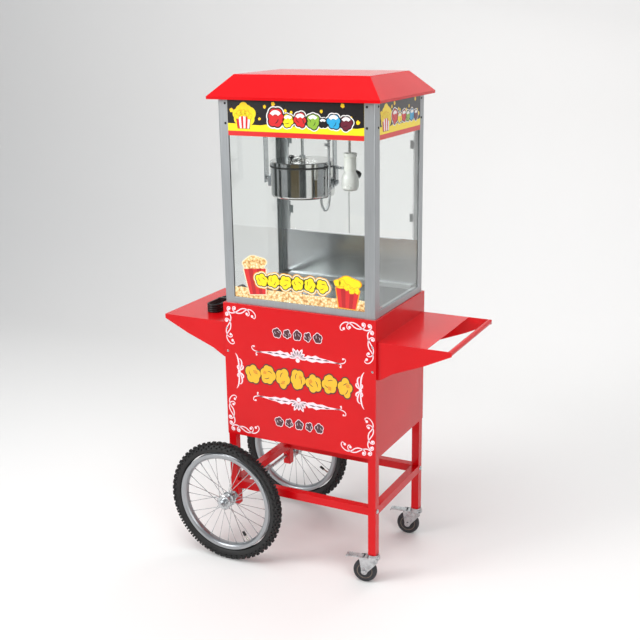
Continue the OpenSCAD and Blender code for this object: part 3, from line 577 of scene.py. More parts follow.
# Gold kernels in the middle, with a row of small dark ones above and below.
gold_shade = ink("Gold shade ink", "#dd8f12")
for i in range(7):
    cx, cz = (i - 3) * 0.0525, 0.6290 + (0.003 if i % 2 else -0.002)
    kernel(front, cx, cz, 0.0262, gold_ink, dark_ink, 4, seed=i * 1.7, lobes=5 + i % 2, tall=1.2)
    t = i * 2.1 + 0.6
    front.shape(gold_shade, puff(cx + 0.011 * math.cos(t), cz + 0.013 * math.sin(t), 0.0070, 4, i * 0.7),
                7)
for cz in (0.770, 0.484):
    for i in range(5):
        kernel(front, (i - 2) * 0.0345, cz, 0.0140, dark_ink, pale_ink, 4, seed=i * 1.3, tall=1.1)
front.done("cart", "banner_print")

# ---------------------------------------------------------------- bolts and screws
# Zinc-plated dome bolts through the legs, the axle's nuts and sleeves, and small pan-head screws that
# hold the case's posts, the shelves and the roof.
# Zinc plate on pressed steel: a bright grey with a cloudy spangle.
zinc, tree, shader = surface("Zinc plate", {"Metallic": 1.0})
place = add(tree, "TexCoord").outputs["Object"]
spangle = add(tree, "TexVoronoi", {"Vector": place, "Scale": 260.0})
haze = add(tree, "TexNoise", {"Vector": place, "Scale": 70.0, "Detail": 6.0})
add(tree, "ValToRGB", {"Fac": haze.outputs["Fac"]}, into=shader.inputs["Base Color"],
    stops=((0.3, "#a9acae"), (0.7, "#d3d6d8")))
add(tree, "MapRange", {"Value": haze.outputs["Fac"], "To Min": 0.18, "To Max": 0.38},
    into=shader.inputs["Roughness"])
add(tree, "Bump", {"Height": spangle.outputs["Distance"], "Strength": 0.12, "Distance": 0.0003},
    into=shader.inputs["Normal"])
show_node("frame_fasteners", zinc, 0.0004)
show_node("wheel_axle", zinc, 0.0008)

# Blackened steel: nearly black heads that still catch a small highlight.
blackened, tree, shader = surface("Blackened screw steel",
                                  {"Base Color": linear("#3a3a3c"), "Metallic": 0.8})
place = add(tree, "TexCoord").outputs["Object"]
haze = add(tree, "TexNoise", {"Vector": place, "Scale": 300.0, "Detail": 4.0})
add(tree, "MapRange", {"Value": haze.outputs["Fac"], "To Min": 0.3, "To Max": 0.5},
    into=shader.inputs["Roughness"])


def screw(name, at, out, r=0.0032, body="cart", mat=zinc):
    """Pan-head screw, its head standing off the face."""
    way = Vector(out).to_track_quat("Z", "X").to_matrix().to_4x4()
    head = lathe(name, [(0, 0.0017), (r * 0.35, 0.0019), (r * 0.7, 0.0015), (r, 0.0006), (r, -0.0006),
                        (0, -0.0006)], mat, sides=20, axis=way, at=at)
    give(head, body, "zinc_plate")


for sx in (-1, 1):
    for sy in (-1, 1):
        for k, z in enumerate((1.387, 1.444)):
            tag = f"{'lr'[sx > 0]}{'fb'[sy > 0]}{k}"
            screw(f"Post_screw_{tag}", (sx * 0.226, sy * 0.181, z), (0, sy, 0), 0.0036, mat=blackened)
            screw(f"Post_side_screw_{tag}", (sx * 0.250, sy * 0.157, z), (sx, 0, 0), 0.0036,
                  mat=blackened)
for sy in (-1, 1):
    for sx in (-1, 1):
        for k, z in enumerate((0.765, 0.690)):
            screw(f"Shelf_screw_{'fb'[sy > 0]}{'lr'[sx > 0]}{k}", (sx * 0.2450, sy * 0.188, z),
                  (0, sy, 0), 0.0036)

# ---------------------------------------------------------------- cabinet door
# Folded tray door across the cabinet's back, hung on two small leaf hinges and pulled by a black knob.
# Polished stainless sheet: bright, with a fine upright grain that streaks its reflections.
steel_leaf, tree, shader = surface("Polished stainless",
                                   {"Base Color": linear("#c9ccce"), "Metallic": 0.85})
place = add(tree, "TexCoord").outputs["Object"]
stretch = add(tree, "Mapping", {"Vector": place, "Scale": (1.0, 1.0, 30.0)}).outputs[0]
brush = add(tree, "TexNoise", {"Vector": stretch, "Scale": 60.0, "Detail": 8.0})
add(tree, "MapRange", {"Value": brush.outputs["Fac"], "To Min": 0.10, "To Max": 0.26},
    into=shader.inputs["Roughness"])
add(tree, "Bump", {"Height": brush.outputs["Fac"], "Strength": 0.06, "Distance": 0.0003},
    into=shader.inputs["Normal"])


def slab(name, low, high, mat, soft=0.0006, segments=2):
    """Rectangular plate or block with rounded edges."""
    verts = [(x, y, z) for z in (low[2], high[2]) for y in (low[1], high[1]) for x in (low[0], high[0])]
    made = new_object(name, verts, [(0, 2, 3, 1), (4, 5, 7, 6), (0, 1, 5, 4), (2, 6, 7, 3), (0, 4, 6, 2),
                                    (1, 3, 7, 5)], mat, smooth=False)
    soften(made, soft, segments)
    return made


def folded_tray(name, half, low, high, back, deep, sheet, mat):
    """Door pressed from sheet: flat skin with four flanges turned inward."""
    outer = [(-half, low), (half, low), (half, high), (-half, high)]
    inner = [(-half + sheet, low + sheet), (half - sheet, low + sheet), (half - sheet, high - sheet),
             (-half + sheet, high - sheet)]
    verts = ([(x, back, z) for x, z in outer] + [(x, back - deep, z) for x, z in outer]
             + [(x, back - sheet, z) for x, z in inner] + [(x, back - deep, z) for x, z in inner])
    faces = [(0, 3, 2, 1), (8, 9, 10, 11)]
    for i in range(4):
        j = (i + 1) % 4
        faces += [(i, j, 4 + j, 4 + i), (4 + i, 4 + j, 12 + j, 12 + i), (12 + i, 12 + j, 8 + j, 8 + i)]
    made = new_object(name, verts, faces, mat, smooth=False)
    sharpen(made, 30)
    soften(made, 0.0007)
    return made


hatch = folded_tray("Cabinet_door", 0.2255, 0.423, 0.8375, 0.188, 0.014, 0.0015, red_coat)
give(hatch, "cabinet_hatch", "red_paint", "cabinet_door")
hatch_knob = lathe("Cabinet_knob", [(0, 0), (0.006, 0), (0.005, 0.003), (0.0048, 0.008), (0.0075, 0.0105),
                                    (0.0120, 0.0125), (0.0130, 0.0150), (0.0128, 0.0180),
                                    (0.0105, 0.0208),
                                    (0.006, 0.0218), (0, 0.022)], shiny_black, axis="Y",
                   at=(-0.1975, 0.188, 0.630))
give(hatch_knob, "cabinet_hatch", "black_plastic")


def mirrored(half, middle=()):
    """Outline whose upper half mirrors its lower one, with middle between them."""
    return half + list(middle) + [(r, -h) for r, h in reversed(half)]


def door_leaf(name, hinge_x, y, z, knuckle, way, reach, rise, body, mat):
    """Moving leaf of a hinge: the middle knuckle and a plate with two screws."""
    third = 0.0082
    barrel_line = mirrored([(knuckle * 0.25 + 0.0001, -third), (knuckle / 2 - 0.0003, -third),
                            (knuckle / 2, -third + 0.0003)])
    barrel = lathe(f"{name}_knuckle", barrel_line, mat, sides=24, at=(hinge_x, y + knuckle / 2, z))
    give(barrel, body, "bright_steel")
    ends = sorted((hinge_x + way * (knuckle / 2 + 0.0008), hinge_x + way * reach))
    plate = slab(f"{name}_plate", (ends[0], y + rise, z - 0.013), (ends[1], y + rise + 0.0015, z + 0.013),
                 mat, 0.0003)
    give(plate, body, "bright_steel")
    web = sorted((hinge_x + way * 0.0006, hinge_x + way * (knuckle / 2 + 0.0012)))
    give(slab(f"{name}_web", (web[0], y + rise, z - third), (web[1], y + rise + 0.0015, z + third), mat,
              0.0002),
         body, "bright_steel")
    for k, up in enumerate((-0.0085, 0.0085)):
        screw(f"{name}_screw{k}", (hinge_x + way * reach * 0.66, y + rise + 0.0015, z + up), (0, 1, 0),
              0.0022, body)


for k, z in enumerate((0.500, 0.760)):
    door_leaf(f"Hatch_hinge{k}", 0.229, 0.188, z, 0.008, -1, 0.024, 0.0, "cabinet_hatch", steel_leaf)
show_node("hinge_pins", steel_leaf, 0.0003)

# ---------------------------------------------------------------- spoked wheels
# Two pneumatic wheels: a knobbly black tyre on a grey alloy rim, laced with thin spokes to a zinc hub,
# with a rubber valve that has a black cap. They turn freely on one axle.
# Moulded tyre rubber: matt black, greyed by dust and slightly grainy.
tyre_rubber, tree, shader = surface("Tyre rubber", {"IOR": 1.52})
place = add(tree, "TexCoord").outputs["Object"]
dust = add(tree, "TexNoise", {"Vector": place, "Scale": 35.0, "Detail": 8.0, "Roughness": 0.65})
add(tree, "ValToRGB", {"Fac": dust.outputs["Fac"]}, into=shader.inputs["Base Color"],
    stops=((0.4, "#0e0e0f"), (0.72, "#212020")))
add(tree, "MapRange", {"Value": dust.outputs["Fac"], "To Min": 0.42, "To Max": 0.72},
    into=shader.inputs["Roughness"])
grain = add(tree, "TexNoise", {"Vector": place, "Scale": 1100.0, "Detail": 3.0})
add(tree, "Bump", {"Height": grain.outputs["Fac"], "Strength": 0.35, "Distance": 0.0003},
    into=shader.inputs["Normal"])
# Aluminium rim with a thin film of dirt: soft, broken reflections.
rim_alloy, tree, shader = surface("Rim alloy", {"Base Color": linear("#a7aaad"), "Metallic": 1.0})
place = add(tree, "TexCoord").outputs["Object"]
film = add(tree, "TexNoise", {"Vector": place, "Scale": 45.0, "Detail": 7.0})
add(tree, "MapRange", {"Value": film.outputs["Fac"], "To Min": 0.24, "To Max": 0.42},
    into=shader.inputs["Roughness"])
fine = add(tree, "TexNoise", {"Vector": place, "Scale": 900.0, "Detail": 2.0})
add(tree, "Bump", {"Height": fine.outputs["Fac"], "Strength": 0.08, "Distance": 0.0002},
    into=shader.inputs["Normal"])
AXLE = Vector((-0.245, 0.0, 0.200))
MID, TUBE, RIM = 0.1795, 0.0205, 0.163


def tread_block(verts, faces, angle, phi_a, phi_b, share, height):
    """One tread knob: a raised pad that follows the tyre, with its sides sloping in to the top."""
    start = len(verts)
    for level in range(2):
        pull = 0.0 if level == 0 else 0.16
        r = TUBE - 0.0054 + (0 if level == 0 else height + 0.0009)
        lo_a, hi_a = phi_a + (phi_b - phi_a) * pull, phi_b - (phi_b - phi_a) * pull
        for i in range(4):
            phi = lo_a + (hi_a - lo_a) * i / 3
            for side in (-1, 1):
                turn = angle + side * share * (1 - pull) / 2
                d = MID + r * math.cos(phi)
                verts.append((d * math.cos(turn), d * math.sin(turn), r * math.sin(phi)))
    b, t = start, start + 8
    for i in range(3):
        faces.append((t + 2 * i, t + 2 * i + 1, t + 2 * i + 3, t + 2 * i + 2))
        faces.append((b + 2 * i, b + 2 * i + 2, t + 2 * i + 2, t + 2 * i))
        faces.append((b + 2 * i + 1, t + 2 * i + 1, t + 2 * i + 3, b + 2 * i + 3))
    faces.append((b, t, t + 1, b + 1))
    faces.append((b + 6, b + 7, t + 7, t + 6))


def make_tyre(name, place_all):
    """Round carcass open at the bead, with five rows of knobs and a row on each shoulder."""
    carcass = TUBE - 0.0050
    verts, faces = [], []
    sides, rings = 144, 26
    bead = math.radians(142)
    for i in range(rings):
        phi = -bead + 2 * bead * i / (rings - 1)
        r = carcass + (0.0009 if i in (5, rings - 6) else 0)
        for k in range(sides):
            a = 2 * math.pi * k / sides
            d = MID + r * math.cos(phi)
            verts.append((d * math.cos(a), d * math.sin(a), r * math.sin(phi)))
    for i in range(rings - 1):
        for k in range(sides):
            a, b = i * sides + k, i * sides + (k + 1) % sides
            faces.append((a, b, b + sides, a + sides))
    count = 58
    for k in range(count):
        a = 2 * math.pi * k / count
        step = 2 * math.pi / count
        rows = [(-10, 10, 0.0, 0.0054), (-37, -16, 0.5, 0.0053), (16, 37, 0.5, 0.0053),
                (-62, -43, 0.0, 0.0054),
                (43, 62, 0.0, 0.0054)]
        for low_deg, high_deg, shift, height in rows:
            tread_block(verts, faces, a + shift * step, math.radians(low_deg), math.radians(high_deg),
                        step * 0.34, height)
        for side in (-1, 1):
            tread_block(verts, faces, a + 0.5 * step, math.radians(side * 64), math.radians(side * 84),
                        step * 0.34,
                        0.0040)
    made = new_object(name, [place_all @ Vector(v) for v in verts], faces, tyre_rubber)
    sharpen(made, 34)
    return made


def rods(name, pairs, mat, sides=8):
    """Thin straight rods between pairs of points, each with its own radius."""
    verts, faces = [], []
    for a, b, ra, rb in pairs:
        way = (Vector(b) - Vector(a)).normalized()
        n = way.orthogonal().normalized()
        m = way.cross(n)
        start = len(verts)
        for p, r in ((a, ra), (b, rb)):
            turns = [2 * math.pi * k / sides for k in range(sides)]
            verts += [Vector(p) + r * (math.cos(t) * n + math.sin(t) * m) for t in turns]
        faces += [(start + k, start + (k + 1) % sides, start + sides + (k + 1) % sides, start + sides + k)
                  for k in range(sides)]
        faces += [tuple(start + k for k in reversed(range(sides))),
                  tuple(start + sides + k for k in range(sides))]
    made = new_object(name, verts, faces, mat)
    sharpen(made, 40)
    return made


for end, s in (("front", -1), ("rear", 1)):
    body = f"wheel_{end}"
    spin = Matrix.Translation(AXLE + Vector((0, s * 0.236, 0))) @ Matrix.Rotation(-s * math.pi / 2, 4,
                                                                                  "X")
    give(make_tyre(f"Tyre_{end}", spin), body, "tyre_rubber", f"wheel_{end}_tyre")
    rim_half = [(0.1460, -0.0060), (0.1462, -0.0066), (0.1515, -0.0130), (0.1525, -0.0135),
                (0.1622, -0.0135),
                (0.1630, -0.0128), (0.1630, -0.0118), (0.1600, -0.0112), (0.1540, -0.0103),
                (0.1490, -0.0050)]
    rim_line = mirrored(rim_half) + rim_half[:1]
    rim = lathe(f"Rim_{end}", rim_line, rim_alloy, sides=160, axis=spin, at=(0, 0, 0), smooth_angle=40)
    give(rim, body, "rim_alloy", f"wheel_{end}_rim")
    laced = []
    for i in range(28):
        turn = math.radians(360 * i / 28)
        lean = math.radians(26 if i % 4 < 2 else -26)
        level = (0.014 if i % 2 == 0 else -0.020) + math.degrees(lean) / 11000
        a = spin @ Vector((0.021 * math.cos(turn + lean), 0.021 * math.sin(turn + lean), level))
        b = spin @ Vector((0.147 * math.cos(turn), 0.147 * math.sin(turn), 0))
        laced.append((a, b, 0.0010, 0.0010))
        laced.append((b + (a - b) * 0.095, b, 0.0013, 0.0019))
        laced.append((a + (a - b) * 0.004, a + (b - a) * 0.012, 0.0022, 0.0016))
    give(rods(f"Spokes_{end}", laced, steel_leaf), body, "bright_steel", f"wheel_{end}_spokes")
    hub_half = [(0.00605, -0.0255), (0.0125, -0.0255), (0.0135, -0.0245), (0.0135, -0.0190),
                (0.0225, -0.0188),
                (0.0240, -0.0176), (0.0240, -0.0162), (0.0225, -0.0152), (0.0150, -0.0148),
                (0.0118, -0.0120)]
    hub_line = mirrored(hub_half, [(0.0112, 0.0)]) + hub_half[:1]
    hub = lathe(f"Hub_{end}", [(r, h - 0.003) for r, h in hub_line], zinc, sides=64, axis=spin)
    give(hub, body, "zinc_plate", f"wheel_{end}_hub")
    where = math.radians(302 if s < 0 else -330)
    out = spin.to_3x3() @ Vector((math.cos(where), math.sin(where), 0))
    root = spin @ Vector((0.1475 * math.cos(where), 0.1475 * math.sin(where), 0))
    stem = rods(f"Valve_stem_{end}", [(root, root - out * 0.012, 0.0042, 0.0032),
                                      (root - out * 0.012, root - out * 0.022,
                                                                                    0.0030, 0.0030)],
                plated, 14)
    give(stem, body, "bright_steel")
    cap = rods(f"Valve_cap_{end}", [(root - out * 0.020, root - out * 0.0235, 0.0042, 0.0046),
                                    (root - out * 0.0235, root - out * 0.036, 0.0046, 0.0042)],
               shiny_black, 16)
    give(cap, body, "black_plastic")

# ---------------------------------------------------------------- castors
# Zinc-plated swivel castors on the right legs: fork, brake pedal with pressed ribs, and a black
# rubber wheel on a brown-grey core. The fork and the head show as they are.
# Castor rubber: dark grey, scuffed paler where it rolls.
castor_rubber, tree, shader = surface("Castor rubber", {"IOR": 1.5})
place = add(tree, "TexCoord").outputs["Object"]
scuff = add(tree, "TexNoise", {"Vector": place, "Scale": 130.0, "Detail": 7.0})
add(tree, "ValToRGB", {"Fac": scuff.outputs["Fac"]}, into=shader.inputs["Base Color"],
    stops=((0.35, "#17181b"), (0.75, "#34353a")))
add(tree, "MapRange", {"Value": scuff.outputs["Fac"], "To Min": 0.36, "To Max": 0.62},
    into=shader.inputs["Roughness"])
# Moulded core: brown-grey plastic with a dull sheen.
core_plastic, tree, shader = surface("Castor core plastic", {"IOR": 1.48})
place = add(tree, "TexCoord").outputs["Object"]
scuff = add(tree, "TexNoise", {"Vector": place, "Scale": 200.0, "Detail": 5.0})
add(tree, "ValToRGB", {"Fac": scuff.outputs["Fac"]}, into=shader.inputs["Base Color"],
    stops=((0.3, "#5d5148"), (0.7, "#77695d")))
add(tree, "MapRange", {"Value": scuff.outputs["Fac"], "To Min": 0.3, "To Max": 0.5},
    into=shader.inputs["Roughness"])
show_node("castor_heads", zinc, 0.0008)
for end, s in (("front", -1), ("rear", 1)):
    stand = Matrix.Translation((0.242, s * 0.174, 0)) @ Matrix.Rotation(math.radians(8), 4, "Z")
    show_node(f"castor_{end}_fork", zinc, 0.0005)
    hub = stand @ Matrix.Translation((-0.026, 0, 0.0375)) @ Matrix.Rotation(math.pi / 2, 4, "X")
    tread = mirrored([(0.0245, -0.0088), (0.0300, -0.0108), (0.0335, -0.0100), (0.0358, -0.0080),
                      (0.0369, -0.0050), (0.0374, -0.0020)], [(0.0375, 0.0)])
    give(lathe(f"Castor_tread_{end}", tread, castor_rubber, sides=96, axis=hub), f"castor_{end}_roller",
         "castor_rubber", f"castor_{end}_wheel")
    core_half = [(0.00405, -0.0125), (0.0088, -0.0125), (0.0092, -0.0120), (0.0092, -0.0085),
                 (0.0200, -0.0062),
                 (0.0215, -0.0070), (0.0225, -0.0088), (0.0250, -0.0090)]
    core = mirrored(core_half, [(0.0252, 0.0)]) + core_half[:1]
    give(lathe(f"Castor_core_{end}", core, core_plastic, sides=64, axis=hub), f"castor_{end}_roller",
         "castor_rubber")
    # side view of the pedal: a turned-down toe, two pressed ribs and a flat run to its barrel
    line = [(-0.0862, 0.0780), (-0.0862, 0.0838), (-0.0835, 0.0842)]
    for x in (-0.0800, -0.0730):
        line += [(x, 0.0842), (x + 0.0010, 0.0862), (x + 0.0035, 0.0862), (x + 0.0045, 0.0842)]
    line += [(-0.0660, 0.0842), (-0.0650, 0.0858), (-0.0600, 0.0850), (-0.0360, 0.0850),
             (-0.0360, 0.0818),
             (-0.0836, 0.0818), (-0.0838, 0.0780)]
    count = len(line)
    verts = [stand @ Vector((x, y, z)) for y in (-0.0115, 0.0115) for x, z in line]
    faces = [(i, (i + 1) % count, count + (i + 1) % count, count + i) for i in range(count)]
    faces += [tuple(reversed(range(count))), tuple(range(count, 2 * count))]
    pedal = new_object(f"Brake_pedal_{end}", verts, faces, zinc, smooth=False)
    sharpen(pedal, 30)
    soften(pedal, 0.0004)
    give(pedal, f"castor_{end}_pedal", "zinc_plate", f"castor_{end}_brake")
    barrel_half = [(0.00205, -0.0125), (0.0038, -0.0125), (0.0041, -0.0121)]
    barrel = lathe(f"Pedal_barrel_{end}", mirrored(barrel_half) + barrel_half[:1], zinc, sides=24,
                   axis=stand @ Matrix.Translation((-0.036, 0, 0.081)) @ Matrix.Rotation(math.pi / 2, 4,
                                                                                         "X"))
    give(barrel, f"castor_{end}_pedal", "zinc_plate")

# ---------------------------------------------------------------- case frame
# Satin extrusions: rounded angle posts screwed at the top, channels between their feet, and a dark
# brushed steel floor sheet. Panes sit just inside the posts in thin black seals.
# Drawn aluminium: pale grey with faint lengthwise streaks and no clear reflections.
satin, tree, shader = surface("Satin alloy", {"Metallic": 0.65})
place = add(tree, "TexCoord").outputs["Object"]
drawn = add(tree, "Mapping", {"Vector": place, "Scale": (60.0, 60.0, 1.2)}).outputs[0]
streak = add(tree, "TexNoise", {"Vector": drawn, "Scale": 9.0, "Detail": 6.0})
add(tree, "ValToRGB", {"Fac": streak.outputs["Fac"]}, into=shader.inputs["Base Color"],
    stops=((0.3, "#a2a5a7"), (0.7, "#aeb1b3")))
add(tree, "MapRange", {"Value": streak.outputs["Fac"], "To Min": 0.34, "To Max": 0.46},
    into=shader.inputs["Roughness"])
add(tree, "Bump", {"Height": streak.outputs["Fac"], "Strength": 0.05, "Distance": 0.0003},
    into=shader.inputs["Normal"])
show_node("corner_posts", satin, 0.0005)

CASE_X, CASE_Y = 0.250, 0.181  # half the case's length and depth over its posts
CHANNEL_LOW, CHANNEL_HIGH = 0.8451, 0.865
channels = {"front": ((-0.2182, -CASE_Y), (0.2182, -0.161)), "rear": ((-0.2182, 0.161), (0.2182, CASE_Y)),
            "left": ((-CASE_X, -0.149), (-0.230, 0.149)), "right": ((0.230, -0.149), (CASE_X, 0.149))}
for end, (low, high) in channels.items():
    piece = slab(f"Channel_{end}", (*low, CHANNEL_LOW), (*high, CHANNEL_HIGH), satin, 0.0009, 3)
    give(piece, "cart", "satin_alloy", *(["base_tray"] if end == "front" else []))
# Rolled steel sheet: darker, with brush lines along it that smear the light.
dark_steel, tree, shader = surface("Brushed floor steel", {"Metallic": 1.0})
place = add(tree, "TexCoord").outputs["Object"]
rolled = add(tree, "Mapping", {"Vector": place, "Scale": (1.0, 40.0, 40.0)}).outputs[0]
brush = add(tree, "TexNoise", {"Vector": rolled, "Scale": 22.0, "Detail": 8.0})
add(tree, "ValToRGB", {"Fac": brush.outputs["Fac"]}, into=shader.inputs["Base Color"],
    stops=((0.3, "#424746"), (0.7, "#515654")))
add(tree, "MapRange", {"Value": brush.outputs["Fac"], "To Min": 0.26, "To Max": 0.40},
    into=shader.inputs["Roughness"])
add(tree, "Bump", {"Height": brush.outputs["Fac"], "Strength": 0.06, "Distance": 0.0003},
    into=shader.inputs["Normal"])
floor_sheet = slab("Case_floor", (-0.2465, -0.1775, 0.8495), (0.2465, 0.1775, 0.8515), dark_steel, 0.0003)
give(floor_sheet, "cart", "brushed_sheet")

# Clear panes. Lamps pass straight through; the eye sees a faint green tint and sharp reflections.
glass, tree, shader = surface("Clear glass", {"Base Color": linear("#fcfefd"), "Roughness": 0.0,
                                              "IOR": 1.46,
                                              "Transmission Weight": 1.0})
open_way = add(tree, "BsdfTransparent", {"Color": linear("#fcfefd")})
ray = add(tree, "LightPath")
mixed = add(tree, "MixShader", {"Fac": ray.outputs["Is Shadow Ray"]})
tree.links.new(shader.outputs["BSDF"], mixed.inputs[1])
tree.links.new(open_way.outputs[0], mixed.inputs[2])
tree.links.new(mixed.outputs[0], tree.nodes["Material Output"].inputs["Surface"])
# Black rubber seal: a thin matt line at the edge of each pane.
seal, tree, shader = surface("Black seal", {"Base Color": linear("#1d1f20"), "Roughness": 0.55})
place = add(tree, "TexCoord").outputs["Object"]
grain = add(tree, "TexNoise", {"Vector": place, "Scale": 700.0, "Detail": 3.0})
add(tree, "Bump", {"Height": grain.outputs["Fac"], "Strength": 0.2, "Distance": 0.0002},
    into=shader.inputs["Normal"])
PANE_LOW, PANE_HIGH = 0.8652, 1.3518
pane_front = slab("Pane_front", (-0.2420, -0.1779, PANE_LOW), (0.2420, -0.1740, PANE_HIGH), glass, 0.0005)
give(pane_front, "cart", "clear_glass", "glass_front")
for tag, sx in (("left", -1), ("right", 1)):
    ends = sorted((sx * 0.2430, sx * 0.2469))
    pane = slab(f"Pane_{tag}", (ends[0], -0.1735, PANE_LOW), (ends[1], 0.1735, PANE_HIGH), glass, 0.0005)
    give(pane, "cart", "clear_glass", *(["glass_sides"] if sx < 0 else []))
SEAL_LOW, SEAL_HIGH = 0.8655, 1.3515
for sx in (-1, 1):
    for sy in (-1, 1):
        tag = f"{'lr'[sx > 0]}{'fb'[sy > 0]}"
        if sy < 0:
            xs, ys = sorted((sx * 0.2172, sx * 0.2190)), sorted((sy * 0.1735, sy * 0.1779))
            give(slab(f"Seal_{tag}x", (xs[0], ys[0], SEAL_LOW), (xs[1], ys[1], SEAL_HIGH), seal, 0.0003),
                 "cart", "black_rubber")
        xs, ys = sorted((sx * 0.2430, sx * 0.2469)), sorted((sy * 0.1482, sy * 0.1500))
        give(slab(f"Seal_{tag}y", (xs[0], ys[0], SEAL_LOW), (xs[1], ys[1], SEAL_HIGH), seal, 0.0003),
             "cart", "black_rubber")

# ---------------------------------------------------------------- case doors and rear sill
# Two clear doors on small steel hinges meet in the middle of the back. Below them a polished steel
# sheet closes the case; its top edge is folded inward and shows as a bright line.
for tag, sx in (("left", -1), ("right", 1)):
    ends = sorted((sx * 0.2155, sx * 0.0010))
    body = f"case_door_{tag}"
    pane = slab(f"Door_pane_{tag}", (ends[0], 0.1765, 1.012), (ends[1], 0.1805, 1.350), glass, 0.0007, 3)
    give(pane, body, "clear_glass", f"door_{tag}")
    for k, z in enumerate((1.076, 1.302)):
        door_leaf(f"Door_{tag}_hinge{k}", sx * 0.218, 0.181, z, 0.006, -sx, 0.014, -0.0005, body, satin)
show_node("rear_sill", steel_leaf, 0.0004)
show_node("hood", satin, 0.0005)

# ---------------------------------------------------------------- banner
# Printed panels between the tops of the posts: a red stripe, yellow splashes on black, and a row of
# coloured puffs with white caps beside a striped tub. The printing is on the front and both sides.
banner_yellow = ink("Banner yellow", "#ffe11b")
banner_black = ink("Banner black", "#1d1a1c")
banner_red = ink("Banner red", "#d92a2a")
banner_white = ink("Banner white", "#f7f5f1")
banner_orange = ink("Banner orange", "#f0a023")
banner_green = ink("Banner green", "#8fb83a")
banner_blue = ink("Banner blue", "#2fa6d8")
banner_wine = ink("Banner wine", "#6b2333")
show_node("banner_panels", banner_yellow, 0.0004)


def tub(sheet, cx, cz, w, h, layer, spare):
    """Striped paper tub, wider at the top, heaped with kernels."""
    for i in range(6):
        a, b = i / 6 - 0.5, (i + 1) / 6 - 0.5
        sheet.shape(banner_red if i % 2 == 0 else banner_white,
                    [(cx + a * w * 0.78, cz), (cx + b * w * 0.78, cz), (cx + b * w, cz + h),
                     (cx + a * w, cz + h)], layer + 1)
    sheet.shape(banner_black, [(cx - w * 0.42, cz - 0.001), (cx + w * 0.42, cz - 0.001),
                               (cx + w * 0.53, cz + h + 0.001),
                               (cx - w * 0.53, cz + h + 0.001)], layer)
    for i in range(7):
        u = (i - 3) / 3
        kernel(sheet, cx + u * w * 0.44, cz + h + w * 0.16 * (1 - u * u) + (0.002 if i % 2 else -0.001),
               w * 0.17,
               spare, banner_orange, layer + 2 + (i % 2), seed=i * 1.3)


def splash(low, high, base, bumps, seed):
    """Top edge of a splash: an uneven wave between two ends."""
    pick = random.Random(seed)
    out, n = [], 90
    waves = [(pick.uniform(0.6, 1.0), pick.uniform(0, 6.28), k) for k in bumps]
    for i in range(n + 1):
        t = i / n
        lift = sum(w * math.sin(6.28 * k * t + p) / k ** 0.6 for w, p, k in waves)
        out.append((low + (high - low) * t, base + 0.0032 * lift))
    return out


def banner(name, origin, right, out, half, row, tub_at):
    """One printed panel. row lists each puff's middle, size and ink."""
    sheet = Print(name, origin, right, out)
    edge_line = splash(-half, half, 1.386, (3, 7, 13), 4)
    sheet.shape(banner_black, edge_line + [(half, 1.4605), (-half, 1.4605)], 0)
    sheet.shape(banner_red, [(-half, 1.3522), (half, 1.3522), (half, 1.3660), (-half, 1.3660)], 1)
    sheet.shape(banner_yellow, puff(tub_at + 0.002, 1.409, 0.041, 9, 0.4), 1)
    tub(sheet, tub_at, 1.374, 0.048, 0.036, 2, banner_yellow)
    pick = random.Random(11)
    for k in range(15):
        u = (k + 0.5) / 15 * 2 * half - half + pick.uniform(-0.008, 0.008)
        kernel(sheet, u, pick.uniform(1.398, 1.446), pick.uniform(0.0040, 0.0062), banner_yellow,
               banner_orange, 1, k)
    for cx, cz, r, fill in row:
        sheet.shape(banner_white, puff(cx, cz, r, 6, cx * 60, grow=r * 0.26), 3)
        kernel(sheet, cx, cz, r, fill, banner_black, 4, seed=cx * 60, lobes=6)
        cap = [(cx + q * r * math.cos(t), cz + q * r * math.sin(t)) for q, angles in
               ((0.80, range(35, 150, 8)), (0.36,
                                            range(147, 34,
                                                  -8))) for t in [math.radians(a) for a in angles]]
        sheet.shape(banner_white, cap, 7)
    sheet.done("cart", "banner_print")


front_row = [(-0.058, 1.407, 0.027, banner_red), (-0.018, 1.400, 0.0195, banner_yellow),
             (0.021, 1.403, 0.0225, banner_red),
             (0.061, 1.401, 0.0215, banner_green), (0.092, 1.397, 0.0145, banner_black),
             (0.125, 1.402, 0.0225, banner_blue),
             (0.164, 1.399, 0.0205, banner_wine)]
side_row = [(-0.045, 1.408, 0.021, banner_red), (-0.010, 1.401, 0.016, banner_yellow),
            (0.021, 1.404, 0.018, banner_red),
            (0.052, 1.401, 0.017, banner_green), (0.081, 1.402, 0.018, banner_blue),
            (0.112, 1.400, 0.016, banner_wine)]
banner("Banner_front", (0, -CASE_Y, 0), (1, 0, 0), (0, -1, 0), 0.2176, front_row, -0.165)
banner("Banner_right", (CASE_X, 0, 0), (0, 1, 0), (1, 0, 0), 0.1486, side_row, -0.108)
banner("Banner_left", (-CASE_X, 0, 0), (0, -1, 0), (-1, 0, 0), 0.1486, side_row, -0.108)

